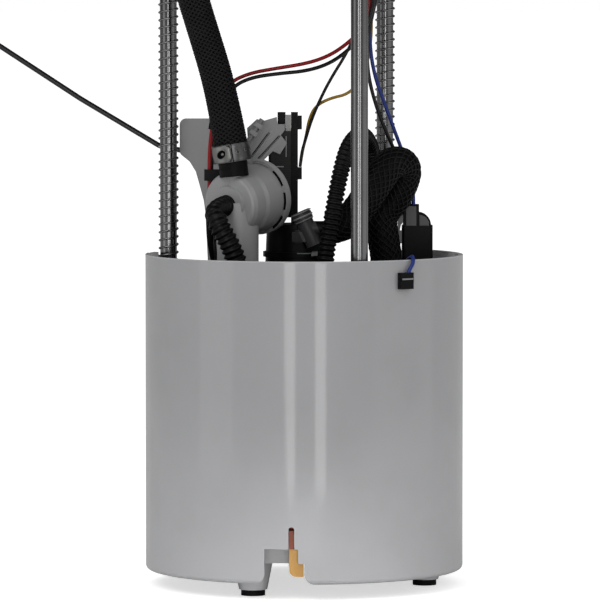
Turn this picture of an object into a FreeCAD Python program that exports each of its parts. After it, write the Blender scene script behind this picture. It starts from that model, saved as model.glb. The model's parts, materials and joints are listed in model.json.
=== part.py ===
import FreeCAD, Part
import math
import os

from FreeCAD import Placement, Rotation, Vector

# Fuel pump module for a deep tank. Millimetres, +Z up. The origin is on the pot's axis, at the tank
# floor under the feet. -Y is the side with the skirt notch.

# Pot
pot_r = 75.0
pot_wall = 2.2
rim_z = 155.7
rim_dip_h = 9.0
rim_dip_x0 = -62.0
rim_dip_x1 = 53.0
rim_dip_y = 22.0
skirt_z = 7.0
floor_under_z = 15.5
floor_t = 2.5
skirt_round = 2.2
notch_round = 5.2

# Feet
foot_inset = 17.5
foot_angles = [245.6, 350.8, 118.5]
foot_pad_r = 5.6
foot_pad_t = 2.8
foot_boss_r = 6.6
foot_boss_flare = 2.6

# Skirt notch and its pocket
notch_left_x = -18.4
notch_right_x = 0.0
notch_step_x = -2.9
notch_step_z = 16.8
notch_top_z = 23.5
slot_x = -6.0
slot_w = 2.7
slot_top_z = 33.7
pocket_depth = 15.0
pocket_top_z = 36.0
pocket_wall = 1.8

# Guide rods and springs
rod_inset = 8.1
rod_first_angle = 173.07
rod_count = 3
rod_r = 4.0
rod_end_z = 86.0
rod_in_boss = 14.0
sprung_rods = [0, 2]
bush_top_z = 115.0
bush_wall = 1.8
bush_lip_r = 7.6
bush_lip_t = 2.0
lug_wall = 2.4
lug_h = 20.0
clip_r = 6.6
clip_t = 1.4
spring_wire = 0.95
spring_pitch = 3.73
spring_gap = 0.35

# Flange
flange_under_z = 345.0
flange_t = 5.0
flange_rim_w = 14.0
flange_neck_out = 7.3
flange_neck_wall = 3.0
flange_neck_h = 9.0
flange_crown_inset = 2.0
flange_crown_t = 5.0
rod_boss_r = 8.0
rod_boss_h = 18.0
seal_t = 2.4
seal_w = 5.0
seal_groove = 0.3

# Pump
pump_x = -2.5
pump_y = 6.0
pump_r = 19.0
can_wall = 1.2
can_z0 = 44.0
can_z1 = 136.0
end_cap_h = 8.0
inlet_cover_h = 7.0
outlet_stub_r = 4.2
outlet_stub_h = 7.0
outlet_bore_r = 2.4
holder_gap = 1.6
holder_wall = 1.5
holder_top_z = 151.0
holder_lid_t = 2.2
turret_x = -2.7
turret_r = 15.8
turret_taper = 0.8
turret_wall = 1.6
turret_top_z = 169.8
holder_z0 = 32.0
holder_leg_w = 9.0
isolator_h = 9.0
magnet_t = 3.2
magnet_z0 = 66.0
magnet_z1 = 118.0
air_gap = 0.6
armature_r = 13.0
armature_z0 = 68.0
armature_z1 = 116.0
shaft_r = 2.0
impeller_r = 15.0
impeller_t = 3.6
commutator_r = 7.0
commutator_h = 12.0
brush_w = 5.0
brush_l = 6.0

# Strainer and floor valve
strainer_r = 16.5
strainer_t = 8.0
strainer_neck_r = 5.0
strainer_lift = 0.6
valve_x = 40.0
valve_y = -22.0
valve_hole_r = 5.0
valve_disc_r = 7.0
valve_disc_t = 1.5
valve_stem_r = 1.5
valve_lift = 2.0
cage_wall = 1.4

# Regulator manifold
column_x = -31.0
column_y = -26.0
column_r = 9.7
column_bore_r = 6.5
bell_end = Vector(-22.8, -12.0, 183.1)
bell_yaw = 34.4
bell_dip = 7.6
bell_len = 22.0
bell_r_wide = 16.1
bell_r_mid = 16.0
bell_r_face = 14.5
bell_wall = 1.8
port_step_r = 9.2
port_step_l = 1.6
port_r = 3.6
port_l = 6.0
port_bore_r = 2.2
neck_x = -31.5
neck_y = -29.5
neck_z = 190.0
neck_lean = 9.0
neck_r = 4.2
neck_bore_r = 2.8
neck_top_z = 211.0
cover_r = 17.8
cover_t = 3.4
wire_guide_z = 190.9
wire_guide_h = 5.2
cover_slots = 9
cover_slot_w = 1.5
diaphragm_t = 1.0
seat_r = 3.0

# Supply hose, its sleeve and its clamps
hose_r = 6.0
hose_cuff_r = 6.85
sleeve_t = 0.7
sleeve_end_r = 7.85
hose_low_z = 192.6
sleeve_low_z = 200.8
hose_gap = 0.08
hose_clamp_z = 204.6
hose_clamp_w = 8.0
hose_clamp_t = 1.0
hose_top_drop = 23.0

# Jet pump
jet_inset = 9.5
jet_foot_z = 10.5
jet_foot_w = 6.9
jet_leg_w = 4.0
jet_leg_z = 23.3
jet_depth = 9.0
jet_nozzle_w = 2.3
jet_foot_round = 3.4
jet_nozzle_top_z = 45.0
jet_hose_r = 4.6
jet_mix_r = 3.0
jet_mix_off_x = 1.8
jet_run_r = 2.1
jet_run_lift = 2.6

# Sender
pivot_x = -28.9
pivot_z = 197.7
plate_y = 10.0
plate_t = 2.4
bracket_off_rod = 5.23
bracket_corner_r = 3.0
pivot_pin_r = 1.5
pivot_gap = 0.06
hub_r = 4.2
arm_wire_r = 1.25
arm_wire_y = 15.4
arm_bend = 6.0
holder_plate_y = 17.1
holder_plate_t = 3.6
frame_y = 22.2
frame_t = 5.5
frame_bar_x0 = -6.3
frame_bar_w = 3.3
frame_step_w = 1.9
frame_h = 71.2
frame_panel_up = 21.0
card_t = 0.7
float_r = 11.0
float_w = 36.0
float_x = -187.0
float_z = 280.5

# Fine filter
filter_inset = 15.3
filter_y = 13.0
filter_r = 16.5
filter_wall = 1.5
filter_z1 = 124.0
filter_lid_t = 4.0
filter_stub_r = 3.4
filter_stub_h = 12.0

# Outlet fitting, pressure hose and corrugated loop
fitting_x = 1.6
fitting_y = -13.9
fitting_drop = 1.2
fitting_r = 4.0
fitting_l = 17.0
fitting_tilt = 24.0
fitting_collar_r = 4.3
fitting_stub_r = 3.2
fitting_spigot_l = 12.0
fitting_reach = 8.3
hose_stub_r = 3.4
press_hose_r = 7.3
press_off_x = -2.5
press_y = 8.0
loop_tube_r = 3.9
loop_stub_r = 3.0
loop_off_x = -4.5
loop_y = 22.5
loop_low_z = 36.0

# Leads
wire_r = 0.82
thin_wire_r = 0.6
wire_gap = 0.5
lead_clip_red = (-44.6, -13.2)
lead_clip_black = (-43.6, -10.6)

# Connector
conn_off_x = 12.8
conn_y = 22.5
conn_w = 14.6
conn_d = 13.0
conn_z0 = 138.0
conn_z1 = 168.4
tower_h = 10.0

# Flange fittings
outlet_x = -57.0
outlet_y = -31.0
outlet_r = 4.0
outlet_bore = 2.8
outlet_over = 5.0
outlet_stop_l = 2.5
outlet_bend = 7.0
outlet_barb = 11.0
outlet_up = 11.0
vent_x = 5.0
vent_y = 45.0
vent_r = 12.0
vent_h = 20.0
vent_neck_r = 5.0
vent_nipple_up = 11.0
vent_tip_inset = 11.0
vent_collar_r = 3.9
vent_collar_over = 1.0
vent_float_h = 12.0
socket_x = 28.0
socket_y = 4.0
socket_w = 22.0
socket_d = 14.0
socket_h = 22.0
pin_r = 0.9
pin_count = 6
wire_clip_angle = -52.2
wire_clip_w = 7.4
wire_clip_z0 = 142.6
wire_clip_z1 = 150.2
wire_clip_t = 2.6


def cyl(r, z0, z1, x=0.0, y=0.0):
    return Part.makeCylinder(r, z1 - z0, Vector(x, y, z0))


def ring(r_out, r_in, z0, z1, x=0.0, y=0.0):
    return cyl(r_out, z0, z1, x, y).cut(cyl(r_in, z0 - 1, z1 + 1, x, y))


def cone(r0, r1, z0, z1, x=0.0, y=0.0):
    return Part.makeCone(r0, r1, z1 - z0, Vector(x, y, z0))


def block(x0, x1, y0, y1, z0, z1):
    return Part.makeBox(x1 - x0, y1 - y0, z1 - z0, Vector(x0, y0, z0))


def fused(shapes):
    whole = shapes[0]
    for shape in shapes[1:]:
        whole = whole.fuse(shape)
    return whole.removeSplitter()


def spun(profile):
    # Turns a closed (radius, height) outline about Z.
    points = [Vector(r, 0, z) for r, z in profile]
    face = Part.Face(Part.makePolygon(points + points[:1]))
    return face.revolve(Vector(0, 0, 0), Vector(0, 0, 1), 360)


def aimed(shape, base, direction):
    # Lays a shape built along +Z onto a base point and a direction.
    turned = shape.copy()
    turned.Placement = Placement(base, Rotation(Vector(0, 0, 1), direction))
    return turned


def plate_xz(points, y0, y1):
    # A flat outline in X and Z, given thickness along Y.
    corners = [Vector(x, y0, z) for x, z in points]
    face = Part.Face(Part.makePolygon(corners + corners[:1]))
    return face.extrude(Vector(0, y1 - y0, 0))


def turned_about_z(shape, angle):
    copy = shape.copy()
    copy.rotate(Vector(0, 0, 0), Vector(0, 0, 1), angle)
    return copy


def on_circle(radius, angle):
    a = math.radians(angle)
    return radius * math.cos(a), radius * math.sin(a)


def path_wire(points, bend):
    # Straight runs joined by tangent arcs, each as large as its two runs allow or as the bend radius given.
    edges = []
    start = points[0]
    radii = []
    for before, corner, after in zip(points, points[1:], points[2:]):
        run_in = corner.sub(before)
        run_out = after.sub(corner)
        half_turn = run_in.getAngle(run_out) / 2
        back = 0.45 * min(run_in.Length, run_out.Length)
        if bend:
            back = min(back, bend * math.tan(half_turn))
        radius = back / math.tan(half_turn)
        d_in = Vector(run_in).normalize()
        d_out = Vector(run_out).normalize()
        arc_start = corner - d_in * back
        arc_end = corner + d_out * back
        inward = Vector(d_out - d_in).normalize()
        arc_mid = corner + inward * (radius / math.cos(half_turn) - radius)
        edges.append(Part.LineSegment(start, arc_start).toShape())
        edges.append(Part.Arc(arc_start, arc_mid, arc_end).toShape())
        radii.append(radius)
        start = arc_end
    edges.append(Part.LineSegment(start, points[-1]).toShape())
    return Part.Wire(edges), radii


def rod_along(points, radius, label, bend=0.0):
    # A round solid along a route; its volume is compared with section times length.
    path, radii = path_wire(points, bend)
    section = Part.Wire(Part.makeCircle(radius, points[0], points[1].sub(points[0])))
    solid = path.makePipeShell([section], True, False)
    error = solid.Volume / (math.pi * radius ** 2 * path.Length) - 1
    if label:
        tight = min(radii) if radii else 0.0
        print(f"{label}: length {path.Length:.0f}, tightest arc {tight:.1f}, volume off {error:.4f}")
    return solid


def tube_along(points, r_out, r_in, label):
    return rod_along(points, r_out, label).cut(rod_along(points, r_in, ""))


def coil_sleeve(r_in, wire, pitch, z0, z1, x, y):
    # A close coil, drawn as a sleeve with one rib for each turn.
    turns = int((z1 - z0) / pitch)
    step = (z1 - z0) / turns
    web = r_in + 0.4 * wire
    outline = [(r_in, z0)]
    for i in range(turns):
        z = z0 + i * step
        outline += [(r_in + wire, z), (r_in + wire, z + wire), (web, z + wire), (web, z + step)]
    outline += [(r_in, z1)]
    return spun(outline).translated(Vector(x, y, 0))


def save(name, shape):
    shape.exportStep(f"parts/{name}.step")
    solids = len(shape.Solids)
    print(f"{name}: {solids} solids, valid {shape.isValid()}, volume {shape.Volume:.0f}")


# Places and sizes that follow from the driving sizes.
floor_top_z = floor_under_z + floor_t
pot_inner_r = pot_r - pot_wall
rod_circle_r = pot_inner_r - rod_inset
foot_circle_r = pot_r - foot_inset
jet_y = -pot_r + jet_inset
flange_neck_r = rod_circle_r + flange_neck_out
flange_crown_r = flange_neck_r - flange_crown_inset
flange_r = flange_neck_r + flange_rim_w
filter_x = pot_inner_r - filter_r - filter_inset
press_x = filter_x + press_off_x
loop_x = filter_x + loop_off_x
conn_x = filter_x + conn_off_x
fitting_z = turret_top_z - fitting_drop
rod_places = [on_circle(rod_circle_r, rod_first_angle + 360 / rod_count * i) for i in range(rod_count)]
running_gap = 0.06
seat_gap = 0.05
bush_r = rod_r + running_gap + bush_wall
lug_r = bush_r + seat_gap + lug_wall
lug_top_z = bush_top_z - bush_lip_t
lug_low_z = lug_top_z - lug_h
rod_boss_z = flange_under_z - rod_boss_h
flange_top_z = flange_under_z + flange_t
crown_z = flange_top_z + flange_crown_t
outlet_z = crown_z + outlet_up
hose_top_z = flange_under_z - hose_top_drop
holder_r = pump_r + holder_gap + holder_wall
end_cap_z = can_z1 + end_cap_h
inlet_z = can_z0 - inlet_cover_h
sleeve_r = hose_r + sleeve_t
hose_bore_r = neck_r + hose_gap
clamp_r = sleeve_end_r + seat_gap
yaw = math.radians(bell_yaw)
dip = math.radians(bell_dip)
port_dir = Vector(-math.sin(yaw) * math.cos(dip), -math.cos(yaw) * math.cos(dip), -math.sin(dip))
lean = math.radians(neck_lean)
neck_dir = Vector(-math.sin(lean), 0, math.cos(lean))
neck_base = Vector(neck_x, neck_y, neck_z)
jet_x = slot_x - slot_w / 2 + jet_nozzle_w / 2 + 0.2
bell_end_l = cover_t + bell_len
fitting_port = Vector(turret_x, pump_y - turret_r, fitting_z - 4)
fitting_mid = Vector(fitting_x, fitting_y, fitting_z)
tilt = math.radians(fitting_tilt)
fitting_dir = Vector(math.sin(tilt), 0, -math.cos(tilt))
hose_stub_bore = hose_stub_r + hose_gap
loop_stub_bore = loop_stub_r + hose_gap
lid_z = filter_z1 + filter_lid_t
conn_x0 = conn_x - conn_w / 2
conn_x1 = conn_x + conn_w / 2
insert_x0 = conn_x0 + 2.0
insert_x1 = insert_x0 + 4.8
cheek_x0 = conn_x0 + 8.3
cheek_x1 = cheek_x0 + 4.5
conn_y0 = conn_y - conn_d / 2
conn_y1 = conn_y + conn_d / 2
socket_low_z = flange_under_z - 7.0
socket_floor_z = crown_z + 3.0
card_front_y = frame_y - card_t
frame_bar_x1 = frame_bar_x0 + frame_bar_w
frame_top_z = holder_top_z + frame_h
face_l = bell_end_l + port_step_l
jet_hose_bore = port_r + hose_gap


def on_neck(height):
    # The point of the leaning hose neck at a height above the floor.
    return neck_base + neck_dir * ((height - neck_z) / math.cos(lean))


def on_bell(length):
    return bell_end + port_dir * (length - cover_t)


def notch_outline(y0, y1):
    # The see-through shape in the skirt: low left part, narrow tall slot and a stepped right edge.
    low = skirt_z - 1
    left = block(notch_left_x, slot_x - slot_w / 2 + 0.5, y0, y1, low, notch_top_z)
    middle = block(slot_x - slot_w / 2, notch_step_x, y0, y1, low, notch_top_z)
    right = block(notch_step_x - 1, notch_right_x, y0, y1, low, notch_step_z)
    slot = block(slot_x - slot_w / 2, slot_x + slot_w / 2, y0, y1, low, slot_top_z - slot_w / 2)
    crown_at = Vector(slot_x, y0, slot_top_z - slot_w / 2)
    crown = Part.makeCylinder(slot_w / 2, y1 - y0, crown_at, Vector(0, 1, 0))
    parts = [left, middle, right, slot, crown]
    for x, way in ((notch_left_x, -1), (notch_right_x, 1)):
        centre_x = x + way * notch_round
        corner = block(min(x, centre_x), max(x, centre_x), y0, y1, low, skirt_z + notch_round)
        centre = Vector(centre_x, y0, skirt_z + notch_round)
        rounding = Part.makeCylinder(notch_round, y1 - y0, centre, Vector(0, 1, 0))
        parts.append(corner.cut(rounding))
    return fused(parts)


def pot():
    body = cyl(pot_r, skirt_z, rim_z)
    low_edges = [e for e in body.Edges if abs(e.CenterOfMass.z - skirt_z) < 0.01]
    body = body.makeFillet(skirt_round, low_edges[:1])
    body = body.cut(cyl(pot_inner_r, floor_top_z, rim_z + 1))
    body = body.cut(cyl(pot_inner_r, skirt_z - 1, floor_under_z))
    dip_z = rim_z - rim_dip_h
    dip = [(rim_dip_x0, dip_z), (rim_dip_x1, dip_z), (rim_dip_x1 + rim_dip_h, rim_z), (rim_dip_x0 - rim_dip_h, rim_z)]
    body = body.cut(plate_xz(dip, rim_dip_y, pot_r + 1))
    pocket_back_y = -pot_r + pocket_depth
    x0 = notch_left_x - pocket_wall
    x1 = notch_right_x + pocket_wall
    front = -math.sqrt((pot_r - pot_wall / 2) ** 2 - x0 ** 2)
    shell = block(x0, x1, front, pocket_back_y + pocket_wall, floor_under_z, pocket_top_z)
    parts = [body, shell]
    for x, y in rod_places:
        parts.append(cyl(lug_r, lug_low_z, lug_top_z, x, y))
    for angle in foot_angles:
        x, y = on_circle(foot_circle_r, angle)
        parts.append(cone(foot_boss_r, foot_boss_r + foot_boss_flare, foot_pad_t, floor_under_z + 0.5, x, y))
    body = fused(parts)
    cavity = block(notch_left_x, notch_right_x, -pot_inner_r - 1, pocket_back_y, skirt_z - 1, slot_top_z)
    wall_band = cyl(pot_r + 1, skirt_z - 1, slot_top_z + 1)
    wall_band = wall_band.cut(cyl(pot_inner_r - 0.05, skirt_z - 2, slot_top_z + 2))
    body = body.cut(cavity.cut(wall_band))
    body = body.cut(notch_outline(-pot_r - 1, -pot_inner_r + pot_wall * 1.6))
    for x, y in rod_places:
        body = body.cut(cyl(bush_r + seat_gap, lug_low_z - 1, lug_top_z + 1, x, y))
    body = body.cut(cyl(jet_nozzle_w / 2 + seat_gap, slot_top_z - 1, pocket_top_z + 1, jet_x, jet_y))
    body = body.cut(cyl(valve_hole_r, floor_under_z - 1, floor_top_z + 1, valve_x, valve_y))
    mix_x = jet_x + jet_mix_off_x
    body = body.cut(cyl(jet_mix_r + seat_gap, floor_under_z - 1, floor_top_z + 1, mix_x, pocket_back_y + 8))
    return body


def foot_pads():
    pads = []
    for angle in foot_angles:
        x, y = on_circle(foot_circle_r, angle)
        pads.append(cyl(foot_pad_r, 0, foot_pad_t, x, y))
    return Part.makeCompound(pads)


def rod_bushes():
    bushes = []
    for x, y in rod_places:
        sleeve = cyl(bush_r, lug_low_z, bush_top_z, x, y)
        lip = cyl(bush_lip_r, lug_top_z, bush_top_z, x, y)
        bore = cyl(rod_r + running_gap, lug_low_z - 1, bush_top_z + 1, x, y)
        bushes.append(sleeve.fuse(lip).cut(bore).removeSplitter())
    return Part.makeCompound(bushes)


def guide_rods():
    rods = []
    for x, y in rod_places:
        rod = cyl(rod_r, rod_end_z, rod_boss_z + rod_in_boss, x, y)
        groove_z = lug_low_z - seat_gap - clip_t
        groove = ring(rod_r + 1, rod_r - 0.7, groove_z, groove_z + clip_t, x, y)
        rods.append(rod.cut(groove))
    return Part.makeCompound(rods)


def rod_clips():
    clips = []
    for x, y in rod_places:
        z = lug_low_z - seat_gap - clip_t
        clip = ring(clip_r, rod_r - 0.7 + seat_gap, z + 0.05, z + clip_t, x, y)
        inward = block(-clip_r - 1, 0, -2.2, 2.2, z - 1, z + clip_t + 1)
        inward.translate(Vector(math.hypot(x, y), 0, 0))
        mouth = turned_about_z(inward, math.degrees(math.atan2(y, x)))
        clips.append(clip.cut(mouth))
    return Part.makeCompound(clips)


def rod_springs():
    coils = []
    for i in sprung_rods:
        x, y = rod_places[i]
        coils.append(coil_sleeve(rod_r + spring_gap, spring_wire, spring_pitch, bush_top_z, rod_boss_z, x, y))
    return Part.makeCompound(coils)


def jet_pump_body():
    x0 = slot_x - slot_w / 2 + 0.35
    front = -pot_inner_r + 0.6
    leg = block(x0, x0 + jet_leg_w, front, front + jet_depth, jet_foot_z, jet_leg_z)
    foot = block(x0, x0 + jet_foot_w - 0.2, front, front + jet_depth, jet_foot_z, notch_step_z - 0.3)
    elbow = leg.fuse(foot).removeSplitter()
    outer = [e for e in elbow.Edges if abs(e.BoundBox.XMax - x0) < 0.01]
    outer = [e for e in outer if abs(e.BoundBox.ZMax - jet_foot_z) < 0.01]
    elbow = elbow.makeFillet(jet_foot_round, outer)
    back_y = -pot_r + pocket_depth + 8
    mix_x = jet_x + jet_mix_off_x
    mix_z = jet_foot_z + jet_run_lift
    run = Part.makeCylinder(jet_run_r, back_y - front, Vector(mix_x, front, mix_z), Vector(0, 1, 0))
    riser = cyl(jet_mix_r, mix_z, floor_top_z + 30, mix_x, back_y)
    body = fused([elbow, run, riser])
    body = body.cut(cyl(jet_mix_r - 1.2, mix_z, floor_top_z + 31, mix_x, back_y))
    bore = Part.makeCylinder(jet_run_r - 0.8, back_y - jet_y, Vector(mix_x, jet_y, mix_z), Vector(0, 1, 0))
    return body.cut(bore).cut(cyl(jet_nozzle_w / 2 - 0.5, mix_z, jet_leg_z + 1, jet_x, jet_y))


def jet_nozzle():
    stem = cyl(jet_nozzle_w / 2, jet_leg_z, pocket_top_z + 0.1, jet_x, jet_y)
    collar = cyl(port_r, pocket_top_z + 0.1, jet_nozzle_top_z, jet_x, jet_y)
    front = block(jet_x - jet_nozzle_w / 2, jet_x + jet_nozzle_w / 2, -pot_inner_r + 1.2, jet_y, jet_leg_z, slot_top_z - 2)
    bore = cyl(jet_nozzle_w / 2 - 0.5, jet_leg_z - 1, jet_nozzle_top_z + 1, jet_x, jet_y)
    return fused([stem, collar, front]).cut(bore)


def jet_hose_route():
    end_z = pocket_top_z + 0.4
    return [
        on_bell(face_l + 0.1),
        on_bell(face_l + 11),
        Vector(-40.0, -46.3, 172),
        Vector(-34.6, -46.3, 163),
        Vector(-30.4, -45.0, 152),
        Vector(-27.5, -43.5, 130),
        Vector(-25, -45, 108),
        Vector(-20, -50, 88),
        Vector(-12, -58, 72),
        Vector(jet_x, jet_y + 1.5, 62),
        Vector(jet_x, jet_y, 50),
        Vector(jet_x, jet_y, end_z),
    ]


def jet_hose():
    return tube_along(jet_hose_route(), jet_hose_r, jet_hose_bore, "jet_hose")


def at_pump(shape):
    return shape.translated(Vector(pump_x, pump_y, 0))


def pump_can():
    return at_pump(ring(pump_r, pump_r - can_wall, can_z0, can_z1))


def pump_end_cap():
    cap = cyl(pump_r, can_z1, end_cap_z)
    neck = cyl(pump_r - can_wall - seat_gap, can_z1 - 5, can_z1)
    stub = cyl(outlet_stub_r, end_cap_z, end_cap_z + outlet_stub_h, 0, -7)
    body = fused([cap, neck, stub])
    body = body.cut(cyl(outlet_bore_r, can_z1 - 6, end_cap_z + outlet_stub_h + 1, 0, -7))
    body = body.cut(cyl(shaft_r + running_gap, can_z1 - 6, can_z1, 0, 0))
    for side in (-1, 1):
        body = body.fuse(block(side * 9 - 1.5, side * 9 + 1.5, 2, 3, end_cap_z, end_cap_z + 4))
    return at_pump(body.removeSplitter())


def pump_inlet_cover():
    cover = cyl(pump_r, inlet_z, can_z0)
    plug = cyl(pump_r - can_wall - seat_gap, can_z0, can_z0 + 6)
    stub = cyl(strainer_neck_r - 1.2, inlet_z - 8, inlet_z, 8, 0)
    body = fused([cover, plug, stub])
    body = body.cut(cyl(2.2, inlet_z - 9, can_z0 + 7, 8, 0))
    return at_pump(body.cut(cyl(shaft_r + running_gap, can_z0 + 1, can_z0 + 7)))


def pump_magnets():
    outer = pump_r - can_wall - seat_gap
    shell = ring(outer, outer - magnet_t, magnet_z0, magnet_z1)
    halves = []
    for side in (-1, 1):
        window = block(-outer, outer, 1.5, outer + 1, magnet_z0 - 1, magnet_z1 + 1)
        if side < 0:
            window.rotate(Vector(0, 0, 0), Vector(0, 0, 1), 180)
        halves.append(at_pump(shell.common(window)))
    return Part.makeCompound(halves)


def pump_shaft():
    low = can_z0 + 2
    return at_pump(cyl(shaft_r, low, can_z1 - 0.6))


def pump_armature():
    core = ring(armature_r, shaft_r + seat_gap, armature_z0, armature_z1)
    for i in range(8):
        slot = block(armature_r - 5, armature_r + 1, -0.7, 0.7, armature_z0 - 1, armature_z1 + 1)
        core = core.cut(turned_about_z(slot, 45 * i))
    commutator = ring(commutator_r, shaft_r + seat_gap, armature_z1, armature_z1 + commutator_h)
    return at_pump(fused([core, commutator]))


def pump_impeller():
    z0 = can_z0 + 6.4
    wheel = ring(impeller_r, shaft_r + seat_gap, z0, z0 + impeller_t)
    for i in range(18):
        notch = block(impeller_r - 2.5, impeller_r + 1, -0.8, 0.8, z0 - 1, z0 + impeller_t + 1)
        wheel = wheel.cut(turned_about_z(notch, 20 * i))
    return at_pump(wheel)


def pump_brushes():
    brushes = []
    z0 = armature_z1 + (commutator_h - brush_w) / 2
    for side in (-1, 1):
        x0 = commutator_r + 0.2
        brush = block(x0, pump_r - can_wall - 0.4, -brush_w / 2, brush_w / 2, z0, z0 + brush_w)
        brushes.append(at_pump(turned_about_z(brush, 90 + 90 * side)))
    return Part.makeCompound(brushes)


def pump_holder():
    outer = holder_r
    inner = holder_r - holder_wall
    shell = ring(outer, inner, holder_z0, holder_top_z)
    lid = cyl(outer, holder_top_z - holder_lid_t, holder_top_z)
    parts = [shell, lid]
    for angle in (90, 210, 330):
        leg = ring(outer, inner - 0.6, floor_top_z, holder_z0)
        width = block(inner - 3, outer + 1, -holder_leg_w / 2, holder_leg_w / 2, floor_top_z, holder_z0)
        parts.append(turned_about_z(leg.common(width), angle))
    body = at_pump(fused(parts))
    turret = cone(turret_r, turret_r - turret_taper, holder_top_z, turret_top_z, turret_x, pump_y)
    body = fused([body, turret])
    room_top = turret_top_z - turret_wall
    room = cyl(turret_r - turret_taper - turret_wall, holder_top_z - holder_lid_t - 1, room_top, turret_x, pump_y)
    body = body.cut(room)
    port = Part.makeCylinder(fitting_stub_r + seat_gap, 10, fitting_port + Vector(0, -1, 0), Vector(0, 1, 0))
    return body.cut(port)


def pump_isolator():
    z0 = holder_z0 + 14
    ring_shape = ring(pump_r + holder_gap - seat_gap, pump_r + seat_gap, z0, z0 + isolator_h)
    return at_pump(ring_shape)


def strainer_sock():
    z0 = floor_top_z + strainer_lift
    top = inlet_z - 8 - 0.2
    disc = cyl(strainer_r, z0, top)
    collar = ring(strainer_neck_r + 1, strainer_neck_r - 1.2 + seat_gap, top, inlet_z - 0.3, 8, 0)
    return at_pump(fused([disc, collar]).cut(cyl(2.2, z0 + 1.5, top + 1, 8, 0)))


def inlet_valve_cage():
    r = valve_disc_r + 0.4
    z0 = floor_top_z
    top = z0 + valve_disc_t + valve_lift + 1.2
    wall = ring(r + cage_wall, r, z0, top)
    for i in range(4):
        window = block(0, r + 5, -3, 3, z0 + 0.6, top + 1)
        wall = wall.cut(turned_about_z(window, 90 * i + 45))
    cap = cyl(r + cage_wall, top, top + cage_wall)
    bore = cyl(valve_stem_r + running_gap, top - 1, top + 3)
    return fused([wall, cap]).cut(bore).translated(Vector(valve_x, valve_y, 0))


def inlet_valve_disc():
    z0 = floor_top_z + 0.1
    top = floor_top_z + valve_disc_t + valve_lift + 1.2 + cage_wall
    disc = cyl(valve_disc_r, z0, z0 + valve_disc_t)
    return disc.fuse(cyl(valve_stem_r, z0, top)).removeSplitter().translated(Vector(valve_x, valve_y, 0))


def bell_outline():
    # Stepped bell, from its wide end towards the port, as (radius, length).
    l0 = cover_t
    return [
        (0, l0),
        (bell_r_wide, l0),
        (bell_r_wide, l0 + 3),
        (bell_r_mid, l0 + 4),
        (bell_r_mid - 0.2, l0 + 11),
        (bell_r_mid - 1.1, l0 + 13),
        (bell_r_face + 0.3, bell_end_l - 2.6),
        (bell_r_face - 0.6, bell_end_l - 0.6),
        (bell_r_face - 1.6, bell_end_l),
        (port_step_r, bell_end_l),
        (port_step_r - 0.5, face_l),
        (0, face_l),
    ]


def bell_room():
    l0 = cover_t - 1
    w = bell_wall
    return spun([
        (0, l0),
        (bell_r_wide - w, l0),
        (bell_r_wide - w, cover_t + 3),
        (bell_r_mid - w - 0.3, cover_t + 5),
        (bell_r_mid - w - 1.2, cover_t + 12),
        (bell_r_face - w - 0.6, bell_end_l - w - 1),
        (0, bell_end_l - w - 1),
    ])


def on_bell_axis(shape):
    return aimed(shape, bell_end - port_dir * cover_t, port_dir)


def regulator_manifold():
    bell = on_bell_axis(spun(bell_outline()))
    column_top = bell_end.z - 2
    column = cyl(column_r, floor_top_z, column_top, column_x, column_y)
    column = column.cut(on_bell_axis(cyl(jet_hose_r + 0.4, face_l, face_l + column_r)))
    neck_from = neck_base - neck_dir * 4
    neck = aimed(cyl(neck_r, 0, (neck_top_z - neck_z) / math.cos(lean) + 4), neck_from, neck_dir)
    port = on_bell_axis(cyl(port_r, face_l - 0.5, face_l + port_l))
    body = fused([bell, column, neck, port])
    body = body.cut(on_bell_axis(bell_room()))
    seat_from = cover_t + 1.2 + diaphragm_t + 0.2
    body = body.fuse(on_bell_axis(cyl(seat_r, seat_from, bell_end_l)))
    body = body.cut(cyl(column_bore_r, floor_top_z + 4, column_top - 4, column_x, column_y))
    body = body.cut(aimed(cyl(neck_bore_r, -1, (neck_top_z - neck_z) / math.cos(lean) + 6), neck_from, neck_dir))
    body = body.cut(on_bell_axis(cyl(seat_r - 1.2, seat_from - 1, bell_end_l - 3)))
    return body.cut(on_bell_axis(cyl(port_bore_r, bell_end_l - 4, face_l + port_l + 1)))


def regulator_cover():
    disc = cyl(cover_r, 0, cover_t)
    for i in range(cover_slots):
        slot = ring(cover_r - 0.5, cover_r - 0.5 - cover_slot_w, -1, cover_t + 1)
        wedge = block(0, cover_r + 1, -4.2, 4.2, -2, cover_t + 2)
        disc = disc.cut(turned_about_z(slot.common(wedge), 360 / cover_slots * i))
    tab = block(cover_r - 1, cover_r + 1.2, -2, 2, 0.6, cover_t - 0.3)
    return on_bell_axis(disc.fuse(turned_about_z(tab, 205)).removeSplitter())


def regulator_diaphragm():
    z0 = cover_t + 1.2
    return on_bell_axis(cyl(bell_r_wide - bell_wall - 0.3, z0, z0 + diaphragm_t))


def hose_route():
    low = on_neck(hose_low_z)
    return [
        low,
        on_neck(219.0),
        Vector(-40.6, neck_y - 0.3, 240),
        Vector(-47.0, neck_y - 0.9, 261),
        Vector(-53.2, outlet_y, 281),
        Vector(outlet_x, outlet_y, 301),
        Vector(outlet_x, outlet_y, hose_top_z),
    ]


def bell_envelope():
    outline = [(r + seat_gap if r > 0 else 0, l) for r, l in bell_outline()]
    return on_bell_axis(spun(outline))


def supply_hose():
    route = hose_route()
    core = rod_along(route, hose_r, "supply_hose")
    cuff_len = (sleeve_low_z - hose_low_z) / math.cos(lean) - seat_gap
    cuff = aimed(cyl(hose_cuff_r, 0, cuff_len), route[0], neck_dir)
    hose = fused([core, cuff]).cut(rod_along(route, hose_bore_r, ""))
    return hose.cut(bell_envelope())


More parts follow.
